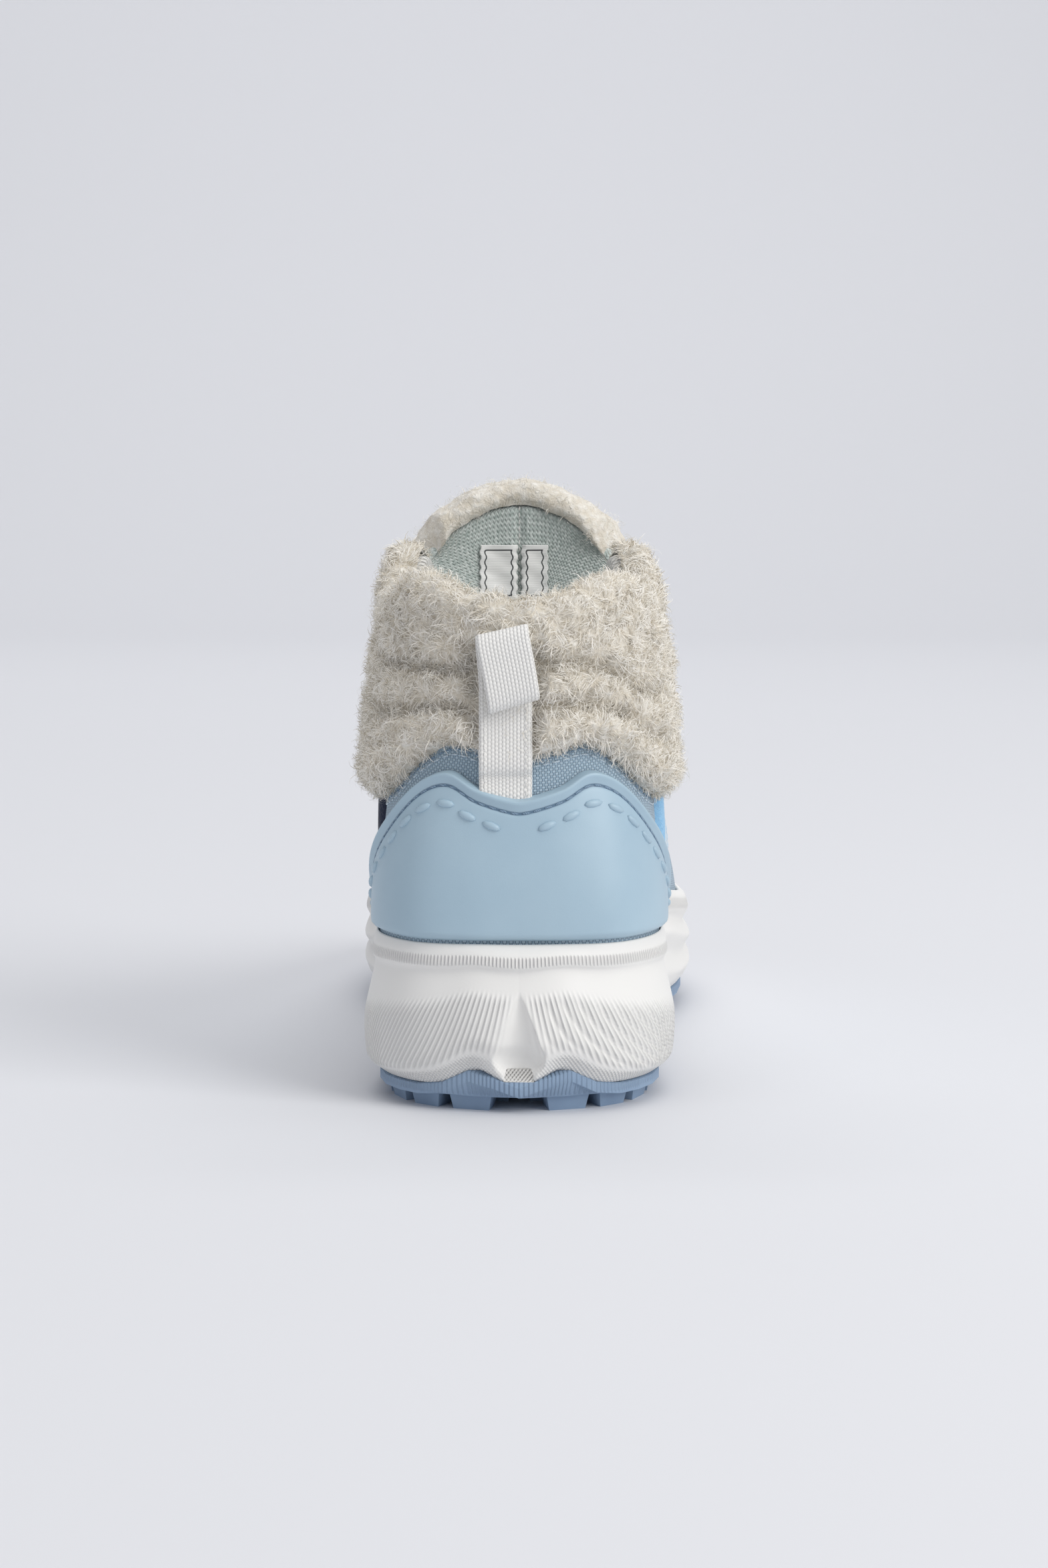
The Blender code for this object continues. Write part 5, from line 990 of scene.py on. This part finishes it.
for v in (start_v - 0.02, start_v, line_v - 0.05, line_v - 0.015, (line_v + end_v) / 2, end_v):
    pile = SOFT_GAP + PRESSED_PILE if v > line_v - 0.03 else 0.0
    x, y, z = wall(0.0, v, GAP + pile + WEBBING_THICKNESS / 2)
    strap_points.append((x + STRAP_OFFSET, y, z, math.radians(-9.0) if v <= start_v else 0.0))
loop_foot = np.array(strap_points[-1])
for away, up, across, tilt in LOOP_SHAPE:
    strap_points.append(loop_foot + (across * LOOP_HEIGHT, away * LOOP_HEIGHT, up * LOOP_HEIGHT,
                                     math.radians(tilt)))
strap_line = curve_through(strap_points, per_span=9)
bearing = np.gradient(strap_line[:, 1:3], axis=0)
bearing /= np.linalg.norm(bearing, axis=1)[:, None]
half_w, half_t = WEBBING_WIDTH / 2, WEBBING_THICKNESS / 2
flat = np.concatenate([np.linspace(-half_w + 0.5, half_w - 0.5, 15)])
section = [*((s, -half_t) for s in flat), (half_w - 0.12, -half_t * 0.7), (half_w, 0.0), (half_w - 0.12, half_t * 0.7),
           *((s, half_t) for s in flat[::-1]), (-half_w + 0.12, half_t * 0.7), (-half_w, 0.0),
           (-half_w + 0.12, -half_t * 0.7)]
strap_rows = []
for k, ((x, y, z, tilt), (along_y, along_z)) in enumerate(zip(strap_line, bearing)):
    share = 0.02 if k in (0, len(strap_line) - 1) else 1.0
    side = np.array([math.cos(tilt), 0.0, math.sin(tilt)])
    off = np.array([0.0, -along_z, along_y])
    ripple = 0.12 * math.sin(k * 0.9)
    strap_rows.append([np.array([x, y, z]) + side * s * (1 + 0.01 * ripple) + off * (t * share + ripple * 0.3)
                       for s, t in section])
strap_rows = np.array(strap_rows)
strap_across = np.array([s for s, _ in section]) * np.ones((len(strap_rows), 1))
strap = add_sheet("pull_loop_webbing", strap_rows, joined=True, marks={"across": strap_across}, flip=True)
# Woven polyester webbing, white: flat ribs run along it 1.1 mm apart and the weft crosses them, with painted shade
# where the weave is low.
webbing_white, tree, shader = new_material("woven_polyester_webbing", "F0EFEB", 0.7, Sheen_Weight=0.3,
                                           Specular_IOR_Level=0.3)
cloth = add_node(tree, "ShaderNodeUVMap", uv_map="cloth").outputs[0]
along = add_node(tree, "ShaderNodeSeparateXYZ", {0: cloth}).outputs[1]
across = add_node(tree, "ShaderNodeAttribute", attribute_name="across").outputs["Fac"]
rib = add_node(tree, "ShaderNodeMath", {0: across, 1: math.pi / 0.95}, operation="MULTIPLY").outputs[0]
rib = add_node(tree, "ShaderNodeMath", {0: rib}, operation="SINE").outputs[0]
pick = add_node(tree, "ShaderNodeMath", {0: along, 1: 2 * math.pi / 1.1}, operation="MULTIPLY").outputs[0]
phase = add_node(tree, "ShaderNodeMath", {0: rib}, operation="SIGN").outputs[0]
pick = add_node(tree, "ShaderNodeMath", {0: phase, 1: math.pi / 2, 2: pick}, operation="MULTIPLY_ADD").outputs[0]
pick = add_node(tree, "ShaderNodeMath", {0: pick}, operation="SINE").outputs[0]
cross = add_node(tree, "ShaderNodeMath", {0: rib}, operation="ABSOLUTE").outputs[0]
weave = add_node(tree, "ShaderNodeMath", {0: pick, 1: 0.5, 2: cross}, operation="MULTIPLY_ADD").outputs[0]
# painted shade: the low parts of the weave are tinted grey
tone = add_node(tree, "ShaderNodeMapRange", {0: weave, 1: -0.4, 2: 0.7}).outputs[0]
tone = add_node(tree, "ShaderNodeMix", {0: tone, 6: linear("CECDC9"), 7: linear("F4F3F0")}, data_type="RGBA")
tree.links.new(tone.outputs[2], shader.inputs["Base Color"])
bump = add_node(tree, "ShaderNodeBump", {"Height": weave, "Strength": 0.8, "Distance": 0.0002})
tree.links.new(bump.outputs[0], shader.inputs["Normal"])
strap.data.materials.append(webbing_white)
finish_piece(strap, ["pull_loop"])
# Its sewn borders, 1.5 mm from each edge.
thread_white = thread_blue.copy()
thread_white.name = "bonded_thread_white"
white_mix = [n for n in thread_white.node_tree.nodes if n.bl_idname == "ShaderNodeMix"][0]
white_mix.inputs[6].default_value, white_mix.inputs[7].default_value = linear("DBDAD6"), linear("F7F6F3")
border_lines = []
for s in (-half_w + 1.5, half_w - 1.5):
    for first, last in ((4, len(strap_line) - 4),):
        line, offs = [], []
        for (x, y, z, tilt), (along_y, along_z) in list(zip(strap_line, bearing))[first:last]:
            side = np.array([math.cos(tilt), 0.0, math.sin(tilt)])
            off = np.array([0.0, -along_z, along_y])
            face = -off if off[1] > 0 else -off
            line.append(np.array([x, y, z]) + side * s + face * half_t * -1.05)
            offs.append(face * -1.0)
        border_lines.append((line, offs))
lay_row("pull_loop_stitches", border_lines, 2.2, (1.8, 0.5, 0.45), thread_white)

# Side quarters: 1.5 mm suede cut to the line of the eyelets, sewn over the canvas with two rows of
# thread, and edged behind with a raised felt trim: sky blue on the outer side, navy on the inner.
OVERLAY_THICKNESS, OVERLAY_SEAT, OVERLAY_BACK, OVERLAY_FRONT = 1.5, 0.7, 0.292, 0.90
EYELET_PAIRS, EYELET_RADIUS, EYELET_FIRST, EYELET_PITCH, EYELET_V = 6, 2.3, 20.0, 13.0, 0.935
TRIM_WIDTH, TRIM_THICKNESS = 4.5, 2.6
OVERLAY_EDGE = ((0.28, 0.0), (0.50, 0.0), (0.60, 0.30), (0.70, 0.62), (0.80, 0.74), (0.90, 0.80))


def overlay_low(u):
    base = above_rim(u)
    return base + (1.0 - base) * np.maximum(read_curve(OVERLAY_EDGE, abs(u)), 0.0)


def overlay_high(u):
    under = fleece_line(u) - 0.012
    return under + (0.985 - under) * np.clip((abs(u) - FLEECE_FRONT - 0.006) / 0.03, 0.0, 1.0)


eyelet_distances = EYELET_FIRST + EYELET_PITCH * np.arange(EYELET_PAIRS)
half_ways = np.linspace(0.0, 1.0, 401)
eyelet_ways = np.interp(1.0 - eyelet_distances / EDGE_LENGTH, read_curve(UPPER_STATIONS, half_ways, 1), half_ways)

# Suede, pale blue: a short matt nap brushed in patches, no gloss, fine pores.
suede_blue, tree, shader = new_material("brushed_suede", "BFD2DE", 0.95, Sheen_Weight=0.5,
                                        Specular_IOR_Level=0.15)
place = add_node(tree, "ShaderNodeTexCoord").outputs["Object"]
nap = add_node(tree, "ShaderNodeTexNoise", {"Vector": place, "Scale": 120.0, "Detail": 6.0,
                                            "Roughness": 0.7}).outputs[0]
pores = add_node(tree, "ShaderNodeTexNoise", {"Vector": place, "Scale": 2200.0, "Detail": 3.0}).outputs[0]
brushed = add_node(tree, "ShaderNodeMapRange", {0: nap, 1: 0.35, 2: 0.65}).outputs[0]
tone = add_node(tree, "ShaderNodeMix", {0: brushed, 6: linear("B2C8D7"), 7: linear("D5E3EC")}, data_type="RGBA")
tree.links.new(tone.outputs[2], shader.inputs["Base Color"])
bump = add_node(tree, "ShaderNodeBump", {"Height": pores, "Strength": 0.5, "Distance": 0.00015})
tree.links.new(bump.outputs[0], shader.inputs["Normal"])

for side_name, side_sign in (("lateral", 1), ("medial", -1)):
    ways = side_sign * np.linspace(OVERLAY_BACK, OVERLAY_FRONT, 340)
    low_v, high_v = overlay_low(ways), overlay_high(ways)
    shares = np.linspace(0.0, 1.0, 90)[:, None]
    middle = wall(ways, (low_v + high_v) / 2)
    tall = np.linalg.norm(wall(ways, high_v) - wall(ways, low_v), axis=-1)
    run = np.concatenate([[0.0], np.cumsum(np.linalg.norm(np.diff(middle, axis=0), axis=1))])
    edge_mm = np.minimum(np.minimum(shares * tall, (1 - shares) * tall), np.minimum(run, run[-1] - run))
    rounding = np.sqrt(np.clip(edge_mm / 0.8, 0.0, 1.0))
    grid = wall(ways, low_v + (high_v - low_v) * shares, OVERLAY_SEAT * 0.3 +
                (OVERLAY_THICKNESS + OVERLAY_SEAT * 0.7) * rounding)
    centres = wall(side_sign * eyelet_ways, EYELET_V, OVERLAY_SEAT + OVERLAY_THICKNESS)
    flat_grid, holes = grid.reshape(-1, 3), np.zeros(grid.shape[0] * grid.shape[1], bool)
    for centre in centres:
        # the points next to a hole are drawn onto its circle, and the ones inside are dropped
        apart = np.linalg.norm(flat_grid - centre, axis=1)
        near = (apart > EYELET_RADIUS * 0.55) & (apart < EYELET_RADIUS * 1.2)
        flat_grid[near] = centre + (flat_grid[near] - centre) * (EYELET_RADIUS / apart[near])[:, None]
        holes |= apart <= EYELET_RADIUS * 0.55
    quarter = add_sheet("quarter_" + side_name, grid, flip=side_sign < 0)
    mesh = bmesh.new()
    mesh.from_mesh(quarter.data)
    mesh.verts.ensure_lookup_table()
    bmesh.ops.delete(mesh, geom=[mesh.verts[k] for k in np.flatnonzero(holes)], context="VERTS")
    mesh.to_mesh(quarter.data)
    mesh.free()
    quarter.data.materials.append(suede_blue)
    finish_piece(quarter, ["overlay_" + side_name])
    # Each hole's cut wall, down through suede, canvas and lining.
    sleeve_points, sleeve_faces = [], []
    for centre, way in zip(centres, side_sign * eyelet_ways):
        axis = centre - wall(way, EYELET_V, -3.0)
        axis /= np.linalg.norm(axis)
        across = np.cross(axis, (0.0, 0.0, 1.0))
        across /= np.linalg.norm(across)
        other = np.cross(axis, across)
        start = len(sleeve_points)
        for deep, wide in ((-0.1, 1.06), (0.12, 0.98), (-0.5, 0.9), (-4.2, 0.9), (-4.2, 0.05)):
            for a in np.linspace(0.0, 2 * math.pi, 20, endpoint=False):
                spot = EYELET_RADIUS * wide * (across * math.cos(a) + other * math.sin(a))
                sleeve_points.append(centre + axis * deep + spot)
        sleeve_faces += (grid_faces(5, 20, joined=True) + start).tolist()
    sleeves = add_mesh("eyelet_walls_" + side_name, sleeve_points, sleeve_faces)
    sleeves.data.materials.append(suede_blue)
    finish_piece(sleeves)
    # Thread: along the back and lower edge, and along the eyelets' edge.
    sewn = []
    for inside in (2.2, 4.4):
        ways_in = side_sign * np.linspace(OVERLAY_BACK + inside / SIDE_LENGTH, OVERLAY_FRONT - 0.012, 260)
        low_in, high_in = overlay_low(ways_in), overlay_high(ways_in)
        tall_in = np.linalg.norm(wall(ways_in, high_in) - wall(ways_in, low_in), axis=-1)
        step_v = (high_in - low_in) / tall_in * inside
        sewn.append(line_on_wall(ways_in, low_in + step_v, OVERLAY_SEAT + OVERLAY_THICKNESS + 0.05))
        if inside < 3.0:
            sewn.append(line_on_wall(ways_in, high_in - step_v * 0.8, OVERLAY_SEAT + OVERLAY_THICKNESS + 0.05))
        back = np.full(60, side_sign * (OVERLAY_BACK + inside / SIDE_LENGTH))
        climb = np.linspace(float(low_in[0]), float(high_in[0]), 60)
        sewn.append(line_on_wall(back, climb, OVERLAY_SEAT + OVERLAY_THICKNESS + 0.05))
    lay_row("quarter_stitches_" + side_name, sewn, 2.8, (2.1, 0.55, 0.45), thread_pale)

    # Needled felt, dyed through: matt, with short loose hairs in its surface.
    deep_dye, pale_dye = ("7DBCEB", "B4DCF6") if side_sign > 0 else ("1D2234", "3A4157")
    felt, tree, shader = new_material("needled_felt_" + side_name, deep_dye, 0.95, Sheen_Weight=0.5,
                                      Specular_IOR_Level=0.1)
    place = add_node(tree, "ShaderNodeTexCoord").outputs["Object"]
    hairs = add_node(tree, "ShaderNodeTexNoise", {"Vector": place, "Scale": 1300.0, "Detail": 5.0,
                                                  "Distortion": 2.0}).outputs[0]
    tone = add_node(tree, "ShaderNodeMix", {0: hairs, 6: linear(deep_dye), 7: linear(pale_dye)},
                    data_type="RGBA")
    tree.links.new(tone.outputs[2], shader.inputs["Base Color"])
    bump = add_node(tree, "ShaderNodeBump", {"Height": hairs, "Strength": 0.8, "Distance": 0.0004})
    tree.links.new(bump.outputs[0], shader.inputs["Normal"])
    width = TRIM_WIDTH / SIDE_LENGTH
    trim_ways = side_sign * np.linspace(OVERLAY_BACK - width - 0.002, OVERLAY_BACK + 0.001, 22)
    low_v, high_v = overlay_low(trim_ways), overlay_high(trim_ways)
    crown = np.sin(np.linspace(0.0, math.pi, 22)) ** 0.5
    ends = np.sqrt(np.clip(np.minimum(shares, 1 - shares) / 0.03, 0.0, 1.0))
    trim = add_sheet("trim_felt_" + side_name, wall(trim_ways, low_v + (high_v - low_v) * shares,
                                                    0.1 + (GAP + TRIM_THICKNESS) * crown * ends),
                     flip=side_sign < 0)
    trim.data.materials.append(felt)
    finish_piece(trim, ["trim_" + side_name])

# Tongue: foam between knit and knit, 5 mm thick, under the eyestays and wider above them; its back is
# folded along a middle seam and carries a blank woven label in two halves.
TONGUE_THICKNESS, TONGUE_TOP, TONGUE_NECK, TONGUE_FLEECE = 5.0, 156.0, 0.9, 8.5
TONGUE_FRONT, TONGUE_LAST, TUCK, TUCKED_FROM = 0.90, 0.50, 0.125, 0.52
TONGUE_RISE = (
    # up, forward, width, arch
    (0.22, 0.06, 1.18, 0.00), (0.45, 0.10, 1.50, 0.04), (0.72, 0.11, 1.70, 0.13), (1.00, 0.09, 1.68, 0.27),
)
ACROSS = np.linspace(-1.0, 1.0, 61)


def crown_direction(way):
    ahead = wall(min(way + 0.03, 0.93), 1.0) - wall(way - 0.03, 1.0)
    ahead[0] = 0.0
    ahead /= np.linalg.norm(ahead)
    return np.array([0.0, -ahead[2], ahead[1]])


def inside_of_wall(u, v, gap):
    return wall(u, v, -(wall_thickness(np.asarray(u), np.asarray(v)) + gap))


def tongue_section(way):
    crown_table = ((TONGUE_LAST, 0.16), (0.62, 0.08), (TONGUE_FRONT, 0.03))
    crown = float(read_curve(crown_table, np.array(way))) * BALL_HALF
    forward = crown_direction(way)
    tucked = min((way - TONGUE_LAST) / 0.07, 1.0)
    ends = [inside_of_wall(sign * way, 1.0, SOFT_GAP) for sign in (-1, 1)]
    middle, half = (ends[0] + ends[1]) / 2, (ends[1] - ends[0]) / 2
    a = ACROSS[:, None]
    free = middle + half * a * TONGUE_NECK + forward * crown * (1 - a * a)
    b = np.clip(a / TUCKED_FROM, -1.0, 1.0)
    under = middle + half * b + forward * crown * (1 - b * b)
    beyond = np.clip((abs(ACROSS) - TUCKED_FROM) / (1 - TUCKED_FROM), 0.0, 1.0)
    tucked_in = inside_of_wall(np.copysign(way, ACROSS), 1.0 - TUCK * beyond, SOFT_GAP)
    under = np.where(beyond[:, None] > 0, tucked_in, under)
    return free + (under - free) * tucked


sections = [tongue_section(way) for way in np.linspace(TONGUE_FRONT - 0.01, TONGUE_LAST, 15)]
last = sections[-1]
tongue_rise = TONGUE_TOP - last[len(ACROSS) // 2, 2]
for share, forward, wide, arch in TONGUE_RISE:
    sections.append(np.stack([last[:, 0] * wide, last[:, 1] + forward * tongue_rise,
                              last[:, 2] + tongue_rise * share * (1 - arch * ACROSS**2)], axis=1))
tongue_grid = np.stack([curve_through(np.array(sections)[:, k], per_span=5) for k in range(len(ACROSS))], axis=1)
for _ in range(3):
    tongue_grid[1:-1] = tongue_grid[1:-1] * 0.5 + (tongue_grid[2:] + tongue_grid[:-2]) * 0.25
along, sideways = np.gradient(tongue_grid, axis=0), np.gradient(tongue_grid, axis=1)
tongue_off = np.cross(sideways, along)
tongue_off /= np.linalg.norm(tongue_off, axis=2)[..., None]
if tongue_off[0, len(ACROSS) // 2, 2] < 0:
    tongue_off = -tongue_off
TONGUE_ROWS = len(tongue_grid)
risen = smooth_step(np.arange(TONGUE_ROWS) / TONGUE_ROWS, 0.72, 0.82)[:, None]
seam_fold = 1.5 * np.exp(-((ACROSS / 0.045) ** 2)) * risen
puff = 0.9 * np.cos(ACROSS * math.pi * 1.5) ** 2 * (1 - abs(ACROSS)) * risen
tongue_back = tongue_grid - tongue_off * (TONGUE_THICKNESS - seam_fold + puff - 0.4)[..., None]
edge_rows = [tongue_grid[-1] * (1 - s) + tongue_back[-1] * s +
             (tongue_grid[-1] - tongue_grid[-3]) / np.linalg.norm(tongue_grid[-1] - tongue_grid[-3],
                                                                  axis=1)[:, None] * 1.3 * math.sin(math.pi * s)
             for s in (0.2, 0.5, 0.8)]
tongue_rows = [*tongue_grid, *edge_rows, *tongue_back[::-1]]
tongue = add_sheet("tongue_padded_knit", np.array(tongue_rows))
rims = []
for column in (0, -1):
    strip = [tongue_grid[:, column] * (1 - s) + tongue_back[:, column] * s + (
        (tongue_grid[:, column] - tongue_grid[:, 3 if column == 0 else -4]) * 0.18 * math.sin(math.pi * s))
        for s in (0.0, 0.25, 0.5, 0.75, 1.0)]
    rims.append(add_sheet(f"tongue_edge_{'medial' if column == 0 else 'lateral'}", np.array(strip),
                          flip=column == -1))
for piece in (tongue, *rims):
    piece.data.materials.append(knit_mint)
finish_piece(tongue, ["tongue"])
for piece in rims:
    finish_piece(piece)
# The seam up the middle of the tongue's back.
seam_rows = tongue_back[int(TONGUE_ROWS * 0.74):, len(ACROSS) // 2]
seam_away = -tongue_off[int(TONGUE_ROWS * 0.74):, len(ACROSS) // 2]
lay_row("tongue_seam", [(seam_rows + seam_away * 0.1, seam_away)], 2.0, (1.5, 0.5, 0.4), thread_white)

# The label: two halves of satin-woven ribbon either side of the seam, with a dark border line, left blank; painted
# shade darkens the low bands of its weft.
LABEL_LOW, LABEL_HIGH, LABEL_LEFT, LABEL_RIGHT = 128.7, 145.0, -11.5, 8.3
satin_white, tree, shader = new_material("satin_woven_ribbon", "F1F1EF", 0.5, Sheen_Weight=0.2)
cloth = add_node(tree, "ShaderNodeUVMap", uv_map="cloth").outputs[0]
weft = add_node(tree, "ShaderNodeTexWave", {"Vector": cloth, "Scale": 0.9}, bands_direction="Y").outputs["Fac"]
edge = add_node(tree, "ShaderNodeAttribute", attribute_name="from_edge").outputs["Fac"]
border = add_node(tree, "ShaderNodeMath", {0: edge, 1: 1.5}, operation="SUBTRACT").outputs[0]
border = add_node(tree, "ShaderNodeMath", {0: border}, operation="ABSOLUTE").outputs[0]
border = add_node(tree, "ShaderNodeMapRange", {0: border, 1: 0.12, 2: 0.28, 3: 1.0, 4: 0.0}).outputs[0]
# painted shade: the weft's low bands are a little greyer
tone = add_node(tree, "ShaderNodeMix", {0: weft, 6: linear("E4E4E1"), 7: linear("F6F6F4")},
                data_type="RGBA").outputs[2]
tone = add_node(tree, "ShaderNodeMix", {0: border, 6: tone, 7: linear("3A3D40")}, data_type="RGBA").outputs[2]
tree.links.new(tone, shader.inputs["Base Color"])
bump = add_node(tree, "ShaderNodeBump", {"Height": weft, "Strength": 0.4, "Distance": 0.0001})
tree.links.new(bump.outputs[0], shader.inputs["Normal"])
back_x, back_z = tongue_back[..., 0], tongue_back[..., 2]
upper_half = tongue_back[int(TONGUE_ROWS * 0.72):]
upper_off = tongue_off[int(TONGUE_ROWS * 0.72):]
for half_name, left, right in (("left", LABEL_LEFT, -0.7), ("right", 0.7, LABEL_RIGHT)):
    rows_of = []
    zs, xs = np.linspace(LABEL_LOW, LABEL_HIGH, 40), np.linspace(left, right, 30)
    for z in zs:
        line, off = [], []
        for k in range(len(ACROSS)):
            order = np.argsort(upper_half[:, k, 2])
            line.append([np.interp(z, upper_half[order, k, 2], upper_half[order, k, c]) for c in range(3)])
            off.append([np.interp(z, upper_half[order, k, 2], upper_off[order, k, c]) for c in range(3)])
        line, off = np.array(line), np.array(off)
        at = [np.interp(xs, line[:, 0], line[:, c]) for c in (1,)]
        away = np.stack([np.interp(xs, line[:, 0], off[:, c]) for c in range(3)], axis=1)
        wave = 0.25 * np.sin(z * 0.9 + xs * 0.6)
        rows_of.append(np.stack([xs + 0.25 * math.sin(z * 2.1), at[0], np.full(30, z)], axis=1)
                       - away * (0.7 + wave * 0.5)[:, None])
    from_edge = np.minimum(np.minimum(xs - left, right - xs), np.minimum(zs - LABEL_LOW, LABEL_HIGH - zs)[:, None])
    label = add_sheet("tongue_label_" + half_name, np.array(rows_of), marks={"from_edge": from_edge})
    thickness = label.modifiers.new("ribbon_thickness", "SOLIDIFY")
    thickness.thickness, thickness.offset = 0.0003, 0.0
    label.data.materials.append(satin_white)
    finish_piece(label)

# The tongue's pile: the same sherpa on the front of its top, curling over the edge as a thick arch.
pile_from = int(np.argmin(abs(tongue_grid[:, len(ACROSS) // 2, 2] - (tongue_grid[-1, len(ACROSS) // 2, 2] - 24.0))))
climb = tongue_grid[-1] - tongue_grid[-4]
climb /= np.linalg.norm(climb, axis=1)[:, None]
top_out, top_in = tongue_grid[-1], tongue_grid[-1] - tongue_off[-1] * TONGUE_THICKNESS
front_off = tongue_off[-1]
pile_rows = [tongue_grid[pile_from] + tongue_off[pile_from] * 0.3]
for row in range(pile_from, TONGUE_ROWS, 2):
    full = min((row - pile_from) / 5.0, 1.0) ** 0.5
    pile_rows.append(tongue_grid[row] + tongue_off[row] * (SOFT_GAP + TONGUE_FLEECE * (0.25 + 0.75 * full)))
for off_share, up_share, from_in in ((0.85, 0.45, 0), (0.55, 0.78, 0), (0.15, 0.93, 0), (0.12, 0.88, 1),
                                     (-0.12, 0.62, 1), (-0.18, 0.35, 1), (-0.05, 0.1, 1)):
    base = top_in if from_in else top_out
    pile_rows.append(base + front_off * TONGUE_FLEECE * off_share + climb * TONGUE_FLEECE * up_share)
pile_grid = np.stack([curve_through(np.array(pile_rows)[:, k], per_span=3) for k in range(len(ACROSS))], axis=1)
pile_grid = np.stack([curve_through(row, per_span=3) for row in pile_grid])
run_end = np.sqrt(np.clip((1 - abs(np.linspace(-1, 1, pile_grid.shape[1]))) / 0.12, 0.0, 1.0))
spine = pile_grid.mean(axis=0)[None]
squeeze = 0.35 + 0.65 * run_end[None, :, None]
pile_grid = spine + (pile_grid - spine) * squeeze
along, sideways = np.gradient(pile_grid, axis=0), np.gradient(pile_grid, axis=1)
off = np.cross(sideways, along)
off /= np.linalg.norm(off, axis=2)[..., None] + 1e-9
swell = 0.9 * lumps(pile_grid, 8.0, 8) + 0.6 * lumps(pile_grid, 3.6, 9)
tongue_pile = add_sheet("tongue_pile_roll", pile_grid + off * swell[..., None])
tongue_pile.data.materials.append(pile_cream)
finish_piece(tongue_pile, ["tongue_fleece"])
grow_pile(tongue_pile, "tongue_pile", PILE_KINDS[:2], PILE_DENSITY)

# Lace: one round braided polyester cord, 4 mm thick, crossed five times over the tongue. Each run goes
# from under one eyestay over the other and down its eyelet; both ends stop under the top pair.
LACE_DIAMETER = 4.0
LACE_HEIGHT = OVERLAY_SEAT + OVERLAY_THICKNESS + SOFT_GAP + LACE_DIAMETER / 2


def lace_half(sign):
    """From the middle of the bar at the throat's foot up one half of the crossings to a top eyelet."""
    ways = eyelet_ways
    bar_middle = tongue_section(ways[0])[len(ACROSS) // 2] + crown_direction(ways[0]) * (LACE_DIAMETER / 2 + 1.0)
    points = [bar_middle, wall(sign * ways[0], 0.985, LACE_HEIGHT), wall(sign * ways[0], 0.955, LACE_HEIGHT - 0.6),
              wall(sign * ways[0], EYELET_V, 0.6), wall(sign * ways[0], EYELET_V + 0.01, -3.4)]
    for k in range(EYELET_PAIRS - 1):
        here, there = ways[k], ways[k + 1]
        middle = (here + there) / 2
        crown = tongue_section(middle)[len(ACROSS) // 2]
        lift = LACE_DIAMETER / 2 + 0.8 + (LACE_DIAMETER * 0.4 if sign < 0 else 0.0)
        points += [
            wall(sign * (here * 0.85 + there * 0.15), 1.0, -2.6),
            crown + crown_direction(middle) * lift,
            wall(-sign * (here * 0.15 + there * 0.85), 0.99, LACE_HEIGHT),
            wall(-sign * there, 0.955, LACE_HEIGHT - 0.6),
            wall(-sign * there, EYELET_V, 0.6),
            wall(-sign * there, EYELET_V + 0.01, -3.4),
        ]
        sign = -sign
    return points


lace_line = curve_through([*lace_half(-1)[:0:-1], *lace_half(1)], per_span=9)
for _ in range(2):
    lace_line[1:-1] = lace_line[1:-1] * 0.5 + (lace_line[2:] + lace_line[:-2]) * 0.25
bearing = np.gradient(lace_line, axis=0)
bearing /= np.linalg.norm(bearing, axis=1)[:, None]
across = np.cross(bearing[0], (0.0, 0.0, 1.0))
lace_rows = []
around_cord = np.linspace(0.0, 2 * math.pi, 14, endpoint=False)
for point, ahead in zip(lace_line, bearing):
    across = across - ahead * np.dot(across, ahead)
    across /= np.linalg.norm(across)
    other = np.cross(ahead, across)
    lace_rows.append([point + LACE_DIAMETER / 2 * (across * math.cos(a) + other * math.sin(a))
                      for a in around_cord])
lace = add_sheet("lace_cord_run", np.array(lace_rows), joined=True)
# Braided polyester cord, white: strands cross in diamonds 2.4 mm long, with painted shade where they dip.
cord_white, tree, shader = new_material("braided_polyester_cord", "EDECE8", 0.75, Sheen_Weight=0.3)
cloth = add_node(tree, "ShaderNodeUVMap", uv_map="cloth").outputs[0]
across, along = add_node(tree, "ShaderNodeSeparateXYZ", {0: cloth}).outputs[:2]
left_turn = add_node(tree, "ShaderNodeMath", {0: across, 1: along}, operation="ADD").outputs[0]
right_turn = add_node(tree, "ShaderNodeMath", {0: across, 1: along}, operation="SUBTRACT").outputs[0]
left_turn = add_node(tree, "ShaderNodeMath", {0: left_turn, 1: 2 * math.pi / 1.9}, operation="MULTIPLY").outputs[0]
right_turn = add_node(tree, "ShaderNodeMath", {0: right_turn, 1: 2 * math.pi / 1.9},
                      operation="MULTIPLY").outputs[0]
left_wave = add_node(tree, "ShaderNodeMath", {0: left_turn}, operation="SINE").outputs[0]
right_wave = add_node(tree, "ShaderNodeMath", {0: right_turn}, operation="SINE").outputs[0]
braid = add_node(tree, "ShaderNodeMath", {0: left_wave, 1: right_wave}, operation="MULTIPLY").outputs[0]
# painted shade: the dips between the braid's strands are tinted grey
tone = add_node(tree, "ShaderNodeMapRange", {0: braid, 1: -1.0, 2: 0.2}).outputs[0]
tone = add_node(tree, "ShaderNodeMix", {0: tone, 6: linear("C9CCCB"), 7: linear("F4F3EF")}, data_type="RGBA")
tree.links.new(tone.outputs[2], shader.inputs["Base Color"])
bump = add_node(tree, "ShaderNodeBump", {"Height": braid, "Strength": 0.9, "Distance": 0.0003})
tree.links.new(bump.outputs[0], shader.inputs["Normal"])
lace.data.materials.append(cord_white)
finish_piece(lace, ["lace_bar", *(f"lace_cross_{k + 1}" for k in range(EYELET_PAIRS - 1))])
